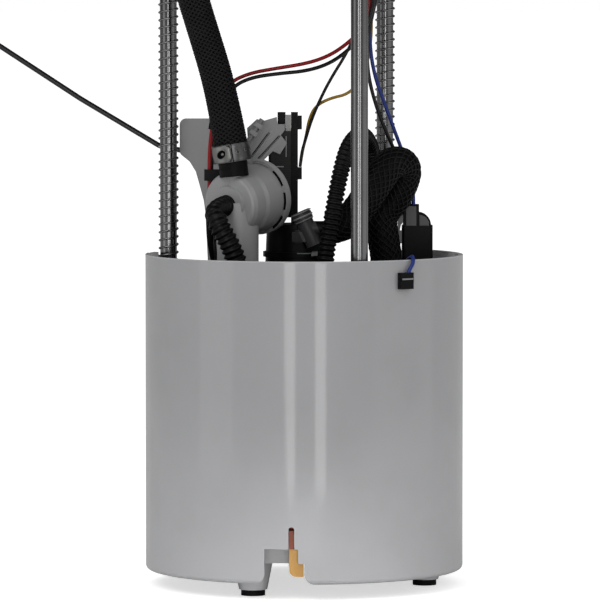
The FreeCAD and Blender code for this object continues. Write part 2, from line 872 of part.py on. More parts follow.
def hose_sleeve():
    route = hose_route()
    route[0] = on_neck(sleeve_low_z)
    route[-1] = Vector(outlet_x, outlet_y, hose_top_z - 2)
    braid = rod_along(route, sleeve_r, "hose_sleeve")
    low_end = aimed(cyl(sleeve_end_r, 0, 11), route[0], neck_dir)
    high_end = cyl(sleeve_end_r, hose_top_z - 14, hose_top_z - 2, outlet_x, outlet_y)
    whole = fused([braid, low_end, high_end])
    inner = list(route)
    inner[0] = on_neck(sleeve_low_z - 2)
    inner[-1] = Vector(outlet_x, outlet_y, hose_top_z)
    return whole.cut(rod_along(inner, hose_r + seat_gap, ""))


def clamp_band(width):
    # A flat band round a hose, with the raised pinch ear on its front.
    band = ring(clamp_r + hose_clamp_t, clamp_r, -width / 2, width / 2)
    ear = block(-3.2, 3.2, -clamp_r - hose_clamp_t - 0.9, -clamp_r - 0.3, -width / 2 + 0.6, width / 2 - 0.6)
    return band.fuse(ear).removeSplitter()


def hose_clamp_lower():
    return aimed(clamp_band(hose_clamp_w), on_neck(hose_clamp_z), neck_dir)


def hose_clamp_upper():
    return clamp_band(hose_clamp_w).translated(Vector(outlet_x, outlet_y, hose_top_z - 7.5))


def wire_guide():
    # Clip on the manifold that holds the pump leads beside the bell.
    z0 = wire_guide_z
    z1 = z0 + wire_guide_h
    edge = wire_r + 1.5
    x0 = lead_clip_red[0] - edge
    arm = block(x0, column_x - 3, lead_clip_red[1] - edge, lead_clip_black[1] + edge, z0, z1)
    column = cyl(column_r + seat_gap, z0 - 1, z1 + 1, column_x, column_y)
    arm = arm.cut(column).cut(bell_envelope())
    for x, y in (lead_clip_red, lead_clip_black):
        arm = arm.cut(cyl(wire_r + wire_gap, z0 - 1, z1 + 1, x, y))
    return max(arm.Solids, key=lambda solid: solid.Volume)


def outlet_fitting():
    top = fitting_mid - fitting_dir * (fitting_l / 2)
    barrel = aimed(cyl(fitting_r, 0, fitting_l), top, fitting_dir)
    collar = aimed(cyl(fitting_collar_r, 0, 5.0), top, fitting_dir)
    parts = [barrel, collar]
    for i in range(2):
        parts.append(aimed(cyl(fitting_collar_r + 0.4, 1.2 + 2 * i, 2.0 + 2 * i), top, fitting_dir))
    parts.append(aimed(cyl(hose_stub_r, 0, fitting_spigot_l), fitting_mid, Vector(1, 0, 0)))
    rear = Part.makeCylinder(fitting_stub_r, 10.0, Vector(turret_x, fitting_y, fitting_port.z), Vector(0, 1, 0))
    bridge = block(turret_x - 3.0, fitting_x, fitting_y - 2.4, fitting_y + 2.4, fitting_port.z - 2.4, fitting_port.z + 2.4)
    body = fused(parts + [rear, bridge])
    body = body.cut(aimed(cyl(2.0, -1, 14.0), fitting_mid, Vector(1, 0, 0)))
    return body.cut(Part.makeCylinder(2.0, 12.0, Vector(turret_x, fitting_y, fitting_port.z), Vector(0, 1, 0)))


def pressure_hose_route():
    return [
        Vector(fitting_x + fitting_reach, fitting_y, fitting_z),
        Vector(fitting_x + fitting_reach + 8.4, fitting_y, fitting_z),
        Vector(26.6, -12.5, 178.8),
        Vector(34.0, -9.5, 190.0),
        Vector(41.5, -4.0, 200.5),
        Vector(49.5, 6.5, 197.0),
        Vector(45.5, 9.5, 182.0),
        Vector(37.2, 8.6, 172.0),
        Vector(36.8, press_y, 158.0),
        Vector(press_x, press_y, 145.0),
        Vector(press_x, press_y, lid_z + 0.1),
    ]


def pressure_hose():
    return tube_along(pressure_hose_route(), press_hose_r, hose_stub_bore, "pressure_hose")


def loop_tube_route():
    return [
        Vector(loop_x, loop_y, lid_z + 0.1),
        Vector(loop_x, loop_y, 156),
        Vector(35.5, 24, 180),
        Vector(33, 21, 201),
        Vector(30, 9, 210),
        Vector(26, -7, 213),
        Vector(20.5, -19, 207.5),
        Vector(16.5, -26, 194),
        Vector(12.5, -29, 172),
        Vector(9, -30, 148),
        Vector(8.8, -30.5, 110),
        Vector(8.8, -30, 72),
        Vector(6, -28.5, loop_low_z + 8),
        Vector(-6, column_y, loop_low_z),
        Vector(column_x + column_r + 0.4, column_y, loop_low_z),
    ]


def loop_tube():
    return tube_along(loop_tube_route(), loop_tube_r, loop_stub_bore, "loop_tube")


def cable_tie():
    # A strap round the turret, with its head at the right.
    z = 155.6
    strap = ring(turret_r + 1.0, turret_r + 0.1, z - 1.2, z + 1.2, turret_x, pump_y)
    x = turret_x + (turret_r + 0.6) * math.cos(math.radians(-52))
    y = pump_y + (turret_r + 0.6) * math.sin(math.radians(-52))
    head = block(x - 1.8, x + 1.8, y - 3.0, y + 0.4, z - 1.7, z + 1.7).cut(cyl(turret_r + 0.1, z - 3, z + 3, turret_x, pump_y))
    return strap.fuse(head).removeSplitter()


def filter_canister():
    cup = cyl(filter_r, floor_top_z, filter_z1, filter_x, filter_y)
    return cup.cut(cyl(filter_r - filter_wall, floor_top_z + filter_wall, filter_z1 + 1, filter_x, filter_y))


def filter_lid():
    disc = cyl(filter_r, filter_z1, lid_z, filter_x, filter_y)
    plug = cyl(filter_r - filter_wall - seat_gap, filter_z1 - 3, filter_z1, filter_x, filter_y)
    first = cyl(hose_stub_r, lid_z, lid_z + filter_stub_h, press_x, press_y)
    second = cyl(loop_stub_r, lid_z, lid_z + filter_stub_h, loop_x, loop_y)
    body = fused([disc, plug, first, second])
    for x, y in ((press_x, press_y), (loop_x, loop_y)):
        body = body.cut(cyl(2.0, filter_z1 - 4, lid_z + filter_stub_h + 1, x, y))
    return body


def filter_element():
    # Pleated ring on an open core.
    outer = filter_r - filter_wall - 2.0
    z0 = floor_top_z + filter_wall + 0.1
    z1 = filter_z1 - 3.2
    points = []
    pleats = 24
    for i in range(pleats):
        for j, r in enumerate((outer, outer - 4.5)):
            a = 2 * math.pi * (i + j / 2) / pleats
            points.append(Vector(r * math.cos(a), r * math.sin(a), z0))
    star = Part.Face(Part.makePolygon(points + points[:1])).extrude(Vector(0, 0, z1 - z0))
    return star.cut(cyl(outer - 6.5, z0 - 1, z1 + 1)).translated(Vector(filter_x, filter_y, 0))


def sender_bracket():
    y0, y1 = plate_y, plate_y + plate_t
    right_low = pump_x - math.sqrt(holder_r ** 2 - (y0 - pump_y) ** 2) - 0.1
    low_z = 108.0
    left_x = rod_places[0][0] + bracket_off_rod
    outline = [
        (left_x, 219.5),
        (pivot_x - 1.5, 219.5),
        (pivot_x - 1.5, 203.0),
        (pivot_x + 3.4, 201.0),
        (pivot_x + 3.4, 190.0),
        (right_low - 4.0, 165.0),
        (right_low, holder_top_z - 4.0),
        (right_low, low_z),
        (right_low - 12.0, low_z),
        (-45.7, 151.0),
        (-46.7, 173.5),
        (-47.6, 180.6),
        (-49.5, 187.7),
        (-51.4, 194.4),
        (-54.3, 199.1),
        (left_x, 202.9),
    ]
    plate = plate_xz(outline, y0, y1)
    corners = [e for e in plate.Edges if abs(e.CenterOfMass.x - left_x) < 0.01 and abs(e.BoundBox.ZLength) < 0.01]
    plate = plate.makeFillet(bracket_corner_r, [e for e in corners if abs(e.BoundBox.YLength - plate_t) < 0.01])
    pin = Part.makeCylinder(pivot_pin_r, card_front_y - 0.3 - y0, Vector(pivot_x, y0, pivot_z), Vector(0, 1, 0))
    return fused([plate, pin])


def sender_frame():
    y0, y1 = frame_y, frame_y + frame_t
    top = frame_top_z
    panel_z = holder_top_z + frame_panel_up
    bar = block(frame_bar_x0, frame_bar_x1, y0, y1, holder_top_z + 0.05, top)
    head = block(frame_bar_x1, frame_bar_x1 + frame_step_w, y0, y1, top - 8.2, top - 1.7)
    bump = block(frame_bar_x1, frame_bar_x1 + frame_step_w, y0, y1, top - 32.0, top - 26.3)
    panel = block(-17.0, frame_bar_x0, y0 + 1.2, y1, panel_z, top - 7.8)
    peg = block(-12.7, -8.9, y0, y1, top - 7.8, top)
    foot = block(-17.0, frame_bar_x0, y0 - 3, y1, holder_top_z + 0.05, holder_top_z + 2.0)
    brace = block(-17.0, -13.5, y0 + 1.2, y1, holder_top_z + 2.0, panel_z)
    body = fused([bar, head, bump, panel, peg, foot, brace])
    room = cyl(turret_r + 1.3, holder_top_z - 1, turret_top_z + 1, turret_x, pump_y)
    return body.cut(room)


def sender_card():
    y1 = frame_y + 1.15
    top = frame_top_z
    panel_z = holder_top_z + frame_panel_up
    base = block(-16.0, frame_bar_x0 - 0.05, card_front_y, y1, panel_z + 4.0, top - 9.2)
    strip = block(-8.85, frame_bar_x0 - 0.05, card_front_y, y1, top - 9.2, top - 1.2)
    return fused([base, strip])


def arm_holder():
    y0, y1 = holder_plate_y, holder_plate_y + holder_plate_t
    blade = plate_xz([
        (-26.7, 208.1), (-27.2, 214.7), (-22.5, 219.0), (-19.6, 218.1), (-13.0, 220.0),
        (-12.7, 216.6), (-9.2, 216.6), (-9.2, 213.8), (-11.1, 211.4), (-8.2, 207.6),
        (-11.5, 202.4), (-14.9, 203.8), (-20.1, 198.6), (-24.8, 199.5),
    ], y0, y1)
    web = plate_xz([(-32.0, 199.8), (-26.6, 208.3), (-20.0, 198.7), (-27.5, 193.9)], y0, y1)
    hub = Part.makeCylinder(hub_r, y1 - y0, Vector(pivot_x, y0, pivot_z), Vector(0, 1, 0))
    body = fused([blade, web, hub])
    for z0, z1 in (((-24.0, 198.5), (-12.0, 211.5)), ((-25.5, 201.5), (-17.0, 213.0))):
        start = Vector(z0[0], y0 - 0.1, z0[1])
        end = Vector(z1[0], y0 - 0.1, z1[1])
        groove = Part.makeBox(1.1, 1.3, end.sub(start).Length)
        groove.translate(Vector(-0.55, -0.1, 0))
        body = body.cut(aimed_flat(groove, start, end.sub(start)))
    contact = block(-15.0, -12.6, y1, card_front_y - 0.15, 205.5, 208.0)
    bore = Part.makeCylinder(pivot_pin_r + pivot_gap, 30, Vector(pivot_x, y0 - 10, pivot_z), Vector(0, 1, 0))
    body = fused([body, contact]).cut(bore)
    for ear in wire_ears():
        body = body.fuse(ear)
    return body.removeSplitter()


def wire_ears():
    # Two snap ears on the holder that wrap the end of the wire.
    tip, knee = arm_wire_route()[:2]
    along = knee - tip
    half_l, half_w = 1.1, arm_wire_r + 0.6
    ears = []
    for share in (0.28, 0.62):
        ear = block(-half_w, half_w, -arm_wire_r - 0.5, holder_plate_y - arm_wire_y + 0.5, -half_l, half_l)
        ear = ear.cut(cyl(arm_wire_r + seat_gap, -half_l - 1, half_l + 1))
        ears.append(aimed_flat(ear, tip + along * share, along))
    return ears


def aimed_flat(shape, base, direction):
    # As aimed, but the shape's Y stays along +Y, for a direction in the XZ plane.
    angle = math.degrees(math.atan2(direction.x, direction.z))
    turned = shape.copy()
    turned.Placement = Placement(base, Rotation(Vector(0, 1, 0), angle))
    return turned


def arm_wire_route():
    y = arm_wire_y
    return [
        Vector(-19.9, y, 219.0),
        Vector(-26.6, y, 208.6),
        Vector(-34.5, y, 201.0),
        Vector(-47.0, y, 202.0),
        Vector(-68.5, y, 206.3),
        Vector(-106.0, y, 228.7),
        Vector(-143.5, y, 253.2),
        Vector(float_x, y, float_z),
        Vector(float_x, y + 10 + float_w, float_z),
    ]


def arm_wire():
    return rod_along(arm_wire_route(), arm_wire_r, "arm_wire", arm_bend)


def float_body():
    y0 = arm_wire_y + 7.0
    body = Part.makeCylinder(float_r, float_w, Vector(float_x, y0, float_z), Vector(0, 1, 0))
    edges = [e for e in body.Edges if e.Length > 2 * math.pi * float_r - 0.1]
    body = body.makeFillet(2.0, edges)
    bore = Part.makeCylinder(arm_wire_r + running_gap, float_w + 2, Vector(float_x, y0 - 1, float_z), Vector(0, 1, 0))
    return body.cut(bore)


def float_retainer():
    y = arm_wire_y + 7.0 + float_w + 0.6
    disc = Part.makeCylinder(3.6, 0.8, Vector(float_x, y, float_z), Vector(0, 1, 0))
    hole = Part.makeCylinder(arm_wire_r + 0.02, 2, Vector(float_x, y - 0.5, float_z), Vector(0, 1, 0))
    return disc.cut(hole)


def connector_body():
    body = block(conn_x0, conn_x1, conn_y0, conn_y1, conn_z0, conn_z1)
    body = body.makeFillet(1.2, [e for e in body.Edges if abs(e.BoundBox.ZLength - (conn_z1 - conn_z0)) < 0.1])
    tower = block(conn_x0 + 0.5, conn_x0 + 8.1, conn_y0 + 1, conn_y1 - 3, conn_z1, conn_z1 + tower_h)
    cheek = Part.makeCylinder(6.4, 3.0, Vector(conn_x0 + 7.5, conn_y0 + 5, conn_z1), Vector(0, 1, 0))
    cheek = cheek.common(block(conn_x0 + 7.5, conn_x0 + 15.5, conn_y0, conn_y1, conn_z1, conn_z1 + tower_h))
    post = block(conn_x0 + 1, conn_x0 + 6, conn_y0 + 1, conn_y0 + 6, lid_z + 0.05, conn_z0)
    whole = fused([body, tower, cheek, post])
    room = block(insert_x0 - 0.1, insert_x1 + 0.1, conn_y0 + 0.5, conn_y0 + 7.0, conn_z1 - 6, conn_z1 + tower_h + 1)
    whole = whole.cut(room)
    return whole.cut(block(cheek_x0 - 0.1, cheek_x1 + 0.1, conn_y0 + 1.2, conn_y0 + 4.9, conn_z1 - 3, conn_z1 + 7.6))


def connector_insert():
    insert = block(insert_x0, insert_x1, conn_y0 + 0.6, conn_y0 + 6.9, conn_z1 - 5.9, conn_z1 + tower_h - 0.8)
    for x in (insert_x0 + 1.7, insert_x0 + 3.5):
        insert = insert.cut(cyl(wire_r + 0.1, conn_z1 + 3.6, conn_z1 + tower_h + 1, x, conn_y0 + 4.4))
    arc = Part.makeCylinder(5.0, 3.4, Vector(cheek_x0 - 0.2, conn_y0 + 1.3, conn_z1), Vector(0, 1, 0))
    cheek = arc.common(block(cheek_x0, cheek_x1, conn_y0, conn_y1, conn_z1 - 2.9, conn_z1 + 7.6))
    return Part.makeCompound([insert, cheek])


def connector_latch():
    x0, z0 = conn_x0, conn_z1
    outline = [(-2.1, 8.1), (0.4, 11.4), (0.4, 1.6), (-0.5, 0.4), (-1.3, -3.4), (-1.9, -3.4)]
    side = plate_xz([(x0 + x, z0 + z) for x, z in outline], conn_y0 + 0.6, conn_y0 + 5.6)
    hook = block(x0 - 1.9, x0 - 0.05, conn_y0 + 0.6, conn_y0 + 5.6, z0 - 8.4, z0 - 2.4)
    return fused([side, hook])


def wire_clip():
    z0, z1 = wire_clip_z0, wire_clip_z1
    half = wire_clip_w / 2
    clip = block(pot_r - 2, pot_r + wire_clip_t, -half, half, z0, z1)
    clip = clip.cut(cyl(pot_r + seat_gap, z0 - 1, z1 + 1))
    clip = clip.cut(cyl(wire_r + 0.08, z0 + 2.5, z1 + 1, pot_r + 1.35, -0.3))
    return turned_about_z(clip, wire_clip_angle)


def out_from_axis(radius, side, z):
    a = math.radians(wire_clip_angle)
    x = radius * math.cos(a) - side * math.sin(a)
    y = radius * math.sin(a) + side * math.cos(a)
    return Vector(x, y, z)


def earth_wire():
    clear = rim_z + wire_r
    route = [
        Vector(conn_x0 + 4.5, conn_y0 - 0.1, 146.0),
        Vector(conn_x0 + 4.5, conn_y0 - 6.0, 147.0),
        Vector(51.0, -2.0, 150.0),
        Vector(50.5, -22.0, 152.5),
        Vector(47.5, -42.0, 155.0),
        out_from_axis(pot_inner_r - 4.0, 0.6, clear + 1.6),
        out_from_axis(pot_r - 0.4, 0.3, clear + 2.8),
        out_from_axis(pot_r + 2.2, -0.1, clear - 1.4),
        out_from_axis(pot_r + 1.35, -0.3, wire_clip_z1 - 0.4),
        out_from_axis(pot_r + 1.35, -0.3, wire_clip_z0 + 2.6),
    ]
    return rod_along(route, wire_r, "earth_wire")


def red_lead():
    x, y = lead_clip_red
    end = pump_x - holder_r
    return rod_along([
        Vector(socket_x - 8, socket_y + 2, socket_low_z - 0.4),
        Vector(24, 7, 318),
        Vector(29, 8, 297),
        Vector(31.8, 8, 277),
        Vector(28.5, 8, 263),
        Vector(21.0, 6, 255.4),
        Vector(12.0, 3, 249.3),
        Vector(1.5, 0, 245.7),
        Vector(-13.9, -2, 243.3),
        Vector(-25.6, -4, 241.2),
        Vector(-35.0, -6, 237.0),
        Vector(-41.2, -8.5, 227.5),
        Vector(-43.8, -11.6, 213),
        Vector(x, y, 201),
        Vector(x, y, 186),
        Vector(-44.7, -12.4, 170),
        Vector(-43.8, -8.0, 157),
        Vector(-39.3, -1, 148),
        Vector(-32.0, 4.2, 143),
        Vector(end - 0.6, pump_y, 141),
    ], wire_r, "red_lead")


def black_leads():
    return Part.makeCompound([black_pump_lead(), sensor_lead(), black_lead()])


def black_pump_lead():
    x, y = lead_clip_black
    end = pump_x - math.sqrt(holder_r ** 2 - 6.0 ** 2)
    return rod_along([
        Vector(socket_x - 5, socket_y + 2, socket_low_z - 0.4),
        Vector(27, 4.5, 318),
        Vector(31.5, 4.5, 297),
        Vector(33.6, 5, 277),
        Vector(29.5, 4.5, 262),
        Vector(22.0, 3.2, 252.8),
        Vector(12.5, 0.5, 245.8),
        Vector(1.5, -2.5, 242.2),
        Vector(-12.1, -4.5, 241.0),
        Vector(-24.5, -6.5, 239.3),
        Vector(-33.5, -8.5, 235.2),
        Vector(-39.7, -9.4, 225),
        Vector(-42.6, -9.9, 212),
        Vector(x, y, 200),
        Vector(x, y, 185),
        Vector(-43.0, -11.2, 169),
        Vector(-41.4, -11.4, 152),
        Vector(-37.0, -7.5, 141),
        Vector(-31.0, -3.8, 136),
        Vector(end - 0.3, pump_y - 6.0, 135),
    ], wire_r, "black_pump_lead")


def sensor_lead():
    return rod_along([
        Vector(socket_x - 2, socket_y + 2, socket_low_z - 0.4),
        Vector(30, 9.5, 318),
        Vector(32, 11, 297),
        Vector(29.5, 12, 272),
        Vector(21.2, 13.5, 252),
        Vector(12.2, 16.5, 237.7),
        Vector(6.7, 19.5, 226.5),
        Vector(3.2, 22, 217.8),
        Vector(0.6, 24, 209),
        Vector(-1.4, 25, 202.5),
        Vector(frame_bar_x1 + 1.05, 25, 196.1),
    ], thin_wire_r, "sensor_lead")


def yellow_lead():
    return rod_along([
        Vector(socket_x + 1, socket_y + 2, socket_low_z - 0.4),
        Vector(34, 8, 318),
        Vector(35.2, 11, 297),
        Vector(31.6, 14, 276),
        Vector(32.1, 16, 257),
        Vector(28.8, 17, 240.5),
        Vector(21.7, 18, 231),
        Vector(12.2, 19.5, 228.9),
        Vector(5.4, 21.8, 225.2),
        Vector(2.4, 24.6, 219.0),
        Vector(1.0, 26.2, 211.0),
        Vector(-1.0, 26.8, 203),
        Vector(frame_bar_x1 + 1.05, 26.8, 196.1),
    ], thin_wire_r, "yellow_lead")


def blue_lead():
    return rod_along([
        Vector(socket_x + 4, socket_y + 2, socket_low_z - 0.4),
        Vector(37, 7, 318),
        Vector(36.8, 9, 298),
        Vector(33.4, 10.5, 277),
        Vector(30.6, 11.5, 261),
        Vector(32.4, 13, 242),
        Vector(39.5, 17, 222.6),
        Vector(46.5, 20, 204),
        Vector(52.0, conn_y0 + 4.4, 190),
        Vector(52.0, conn_y0 + 4.4, 178.2),
    ], wire_r, "blue_lead")


def black_lead():
    return rod_along([
        Vector(socket_x + 7, socket_y + 1, socket_low_z - 0.4),
        Vector(37.5, 3.5, 318),
        Vector(36.8, 5.5, 298),
        Vector(34.2, 6.8, 277),
        Vector(29.6, 8, 257),
        Vector(30.0, 10, 240),
        Vector(35.0, 14.5, 222),
        Vector(42.3, 18.5, 205),
        Vector(50.2, conn_y0 + 4.4, 190),
        Vector(50.2, conn_y0 + 4.4, 178.2),
    ], wire_r, "black_lead")


def flange_plate():
    disc = cyl(flange_r, flange_under_z, flange_top_z)
    groove_r = flange_neck_r + 0.1 + seal_w + 0.5
    disc = disc.cut(ring(groove_r, flange_neck_r, flange_under_z - 1, flange_under_z + seal_groove))
    crown = cone(flange_crown_r, flange_crown_r - 2, flange_top_z, crown_z)
    neck = ring(flange_neck_r, flange_neck_r - flange_neck_wall, flange_under_z - flange_neck_h, flange_under_z)
    parts = [disc, crown, neck]
    for x, y in rod_places:
        parts.append(cyl(rod_boss_r, rod_boss_z, flange_under_z + 1, x, y))
    for i in range(12):
        rib = block(34, flange_crown_r - 8, -0.9, 0.9, crown_z, crown_z + 1.6)
        angle = 30 * i + 15
        parts.append(turned_about_z(rib, angle))
    body = fused(parts)
    for x, y in rod_places:
        body = body.cut(cyl(rod_r + seat_gap, rod_boss_z - 1, rod_boss_z + rod_in_boss + 0.1, x, y))
    for i in range(3):
        key = block(flange_r - 3, flange_r + 1, -4, 4, flange_under_z - 1, flange_top_z + 1)
        body = body.cut(turned_about_z(key, 120 * i + 30))
    body = body.cut(cyl(outlet_r + 1.5, flange_under_z - 40, crown_z + 1, outlet_x, outlet_y))
    x0, x1, y0, y1 = socket_box(seat_gap)
    body = body.cut(block(x0, x1, y0, y1, flange_under_z - 1, crown_z + 3))
    body = body.cut(cyl(vent_neck_r + 2.2, crown_z, crown_z + 3, vent_x, vent_y))
    return body.cut(cyl(vent_neck_r + seat_gap, flange_under_z - 1, crown_z + 3, vent_x, vent_y))


def socket_box(gap):
    half_w = socket_w / 2 + gap
    half_d = socket_d / 2 + gap
    return socket_x - half_w, socket_x + half_w, socket_y - half_d, socket_y + half_d


def flange_seal():
    inner = flange_neck_r + 0.1
    body = ring(inner + seal_w, inner, flange_under_z - seal_t, flange_under_z + seal_groove)
    lip = ring(inner + seal_w, inner + seal_w - 1.6, flange_under_z - seal_t - 1.2, flange_under_z - seal_t)
    body = fused([body, lip])
    for x, y in rod_places:
        body = body.cut(cyl(rod_boss_r + seat_gap, rod_boss_z, flange_under_z + 1, x, y))
    return body


def outlet_pipe():
    low_z = hose_top_z - outlet_barb
    away = Vector(-flange_r - outlet_over, outlet_y, outlet_z)
    route = [Vector(outlet_x, outlet_y, low_z), Vector(outlet_x, outlet_y, outlet_z), away]
    pipe = rod_along(route, outlet_r, "outlet_pipe", outlet_bend)
    collar = cyl(outlet_r + 1.5 - seat_gap, flange_under_z - 3, crown_z + 2, outlet_x, outlet_y)
    stop = cyl(outlet_r + 3.0, crown_z + 0.05, crown_z + 2, outlet_x, outlet_y)
    shoulder = aimed(cyl(outlet_r + 1.2, 0, outlet_stop_l), Vector(outlet_x - 12, outlet_y, outlet_z), Vector(-1, 0, 0))
    body = fused([pipe, collar, stop, shoulder])
    return body.cut(rod_along(route, outlet_bore, "", outlet_bend))


def vent_valve():
    low_z = flange_under_z - vent_h
    shell = cyl(vent_r, low_z, flange_under_z - 0.05, vent_x, vent_y)
    nipple_z = crown_z + vent_nipple_up
    neck = cyl(vent_neck_r, flange_under_z - 1, nipple_z + 4, vent_x, vent_y)
    nipple_l = flange_r - vent_tip_inset - vent_y
    nipple = Part.makeCylinder(3.0, nipple_l, Vector(vent_x, vent_y, nipple_z), Vector(0, 1, 0))
    collar_l = vent_neck_r + vent_collar_over
    collar = Part.makeCylinder(vent_collar_r, collar_l, Vector(vent_x, vent_y, nipple_z), Vector(0, 1, 0))
    stop = cyl(vent_neck_r + 2, crown_z + 0.05, crown_z + 1.6, vent_x, vent_y)
    body = fused([shell, neck, nipple, collar, stop])
    body = body.cut(cyl(vent_r - 1.5, low_z + 1.5, flange_under_z - 3, vent_x, vent_y))
    body = body.cut(cyl(2.0, flange_under_z - 4, nipple_z, vent_x, vent_y))
    body = body.cut(Part.makeCylinder(1.8, nipple_l + 2, Vector(vent_x, vent_y, nipple_z), Vector(0, 1, 0)))
    for i in range(4):
        x, y = on_circle(6.5, 90 * i + 45)
        body = body.cut(cyl(1.2, low_z - 1, low_z + 2, vent_x + x, vent_y + y))
    return body


def vent_float():
    z0 = flange_under_z - vent_h + 1.6
    body = cyl(vent_r - 2.0, z0, z0 + vent_float_h, vent_x, vent_y)
    tip = cone(1.8, 0.6, z0 + vent_float_h, z0 + vent_float_h + 1.6, vent_x, vent_y)
    return body.fuse(tip).removeSplitter()


def socket_housing():
    x0, x1, y0, y1 = socket_box(0)
    body = block(x0, x1, y0, y1, socket_low_z, crown_z + socket_h)
    body = body.makeFillet(2.0, [e for e in body.Edges if e.BoundBox.ZLength > socket_h])
    body = body.cut(block(x0 + 1.8, x1 - 1.8, y0 + 1.8, y1 - 1.8, socket_floor_z, crown_z + socket_h + 1))
    rim = block(x0 - 2, x1 + 2, y0 - 2, y1 + 2, crown_z + 1.65, crown_z + 3.4)
    catch = block(socket_x - 3, socket_x + 3, y1 - 0.5, y1 + 1.6, crown_z + socket_h - 8, crown_z + socket_h - 3)
    body = fused([body, rim.cut(block(x0 + 1, x1 - 1, y0 + 1, y1 - 1, crown_z, crown_z + 5)), catch])
    for x in pin_places():
        body = body.cut(cyl(pin_r + seat_gap, socket_low_z - 1, socket_floor_z + 1, x, socket_y))
    return body


def pin_places():
    step = (socket_w - 6.0) / (pin_count - 1)
    return [socket_x - (socket_w - 6.0) / 2 + step * i for i in range(pin_count)]


def socket_pins():
    return Part.makeCompound([cyl(pin_r, socket_low_z - 0.05, socket_floor_z + 12, x, socket_y) for x in pin_places()])


builders = [
    pot, foot_pads, rod_bushes, inlet_valve_cage, jet_pump_body, jet_nozzle, jet_hose,
    pump_can, pump_end_cap, pump_inlet_cover, pump_magnets, pump_brushes,
    pump_holder, pump_isolator, strainer_sock,
    regulator_manifold, regulator_cover, regulator_diaphragm,
    hose_clamp_lower, wire_guide, outlet_fitting, pressure_hose, loop_tube, cable_tie,
    filter_canister, filter_lid, filter_element,
    sender_bracket, sender_frame, sender_card,
    connector_body, connector_insert, connector_latch, wire_clip, earth_wire,
    pump_shaft, pump_armature, pump_impeller, inlet_valve_disc,
    arm_holder, arm_wire, float_retainer, float_body,
    flange_plate, flange_seal, guide_rods, rod_clips, outlet_pipe, vent_valve, vent_float,
    socket_housing, socket_pins, hose_clamp_upper,
    rod_springs, supply_hose, hose_sleeve,
    red_lead, black_leads, yellow_lead, blue_lead,
]

os.makedirs("parts", exist_ok=True)
for builder in builders:
    save(builder.__name__, builder())
print(f"{len(builders)} nodes")
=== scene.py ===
import json
import math
import bmesh
import bpy
from mathutils import Matrix, Vector


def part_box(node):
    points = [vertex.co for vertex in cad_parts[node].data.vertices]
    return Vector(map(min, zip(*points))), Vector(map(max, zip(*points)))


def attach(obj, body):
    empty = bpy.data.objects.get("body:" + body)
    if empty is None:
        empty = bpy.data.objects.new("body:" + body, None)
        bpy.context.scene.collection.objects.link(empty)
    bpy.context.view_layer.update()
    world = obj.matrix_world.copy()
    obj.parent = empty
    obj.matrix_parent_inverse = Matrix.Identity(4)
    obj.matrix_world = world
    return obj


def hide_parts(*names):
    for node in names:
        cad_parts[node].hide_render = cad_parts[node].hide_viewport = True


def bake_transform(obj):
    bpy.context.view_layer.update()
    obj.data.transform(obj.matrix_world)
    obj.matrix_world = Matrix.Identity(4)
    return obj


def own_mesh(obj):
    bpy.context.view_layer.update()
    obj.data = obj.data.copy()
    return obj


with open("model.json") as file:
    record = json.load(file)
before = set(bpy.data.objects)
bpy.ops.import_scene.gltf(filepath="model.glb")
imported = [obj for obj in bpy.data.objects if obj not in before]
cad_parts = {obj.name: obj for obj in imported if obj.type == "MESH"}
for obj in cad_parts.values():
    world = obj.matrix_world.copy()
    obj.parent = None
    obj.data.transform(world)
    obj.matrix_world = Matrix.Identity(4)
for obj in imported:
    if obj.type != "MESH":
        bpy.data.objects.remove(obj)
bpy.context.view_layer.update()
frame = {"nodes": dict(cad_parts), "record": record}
mm = 0.001
fullTurn = 2 * math.pi
scene = bpy.context.scene
print("frame loaded")


# Shared helpers for node trees.

class Wire:
    # One socket of a node tree. Sums and products of wires add their own Math nodes.
    def __init__(self, board, socket):
        self.board = board
        self.socket = socket

    def maths(self, operation, *others):
        return self.board.add("ShaderNodeMath", {"operation": operation}, [self, *others])

    def __add__(self, other):
        return self.maths("ADD", other)

    def __sub__(self, other):
        return self.maths("SUBTRACT", other)

    def __rsub__(self, other):
        return self.board.add("ShaderNodeMath", {"operation": "SUBTRACT"}, [other, self])

    def __mul__(self, other):
        return self.maths("MULTIPLY", other)

    def __truediv__(self, other):
        return self.maths("DIVIDE", other)

    def __pow__(self, other):
        return self.maths("POWER", other)

    def sine(self):
        return self.maths("SINE")

    def cosine(self):
        return self.maths("COSINE")

    def clamped(self):
        return self.board.add("ShaderNodeClamp", {}, [self, 0.0, 1.0])

    __radd__ = __add__
    __rmul__ = __mul__


class Board:
    # A node tree under construction, of a material or of a modifier.
    def __init__(self, tree):
        self.tree = tree

    def add(self, kind, settings=None, values=(), output=0):
        node = self.tree.nodes.new(kind)
        for key, value in (settings or {}).items():
            setattr(node, key, value)
        pairs = values.items() if isinstance(values, dict) else enumerate(values)
        for key, value in pairs:
            self.feed(node.inputs[key], value)
        return Wire(self, node.outputs[output])

    def feed(self, socket, value):
        if isinstance(value, Wire):
            self.tree.links.new(value.socket, socket)
        else:
            socket.default_value = value

    def sibling(self, wire, name):
        return Wire(self, wire.socket.node.outputs[name])

    def rays(self):
        # Which rays ask: those that see the surface straight or through glass, and glossy ones.
        path = self.tree.nodes.new("ShaderNodeLightPath")
        camera, transmission, glossy = [
            Wire(self, path.outputs[kind])
            for kind in ("Is Camera Ray", "Is Transmission Ray", "Is Glossy Ray")
        ]
        return (camera + transmission).clamped(), glossy


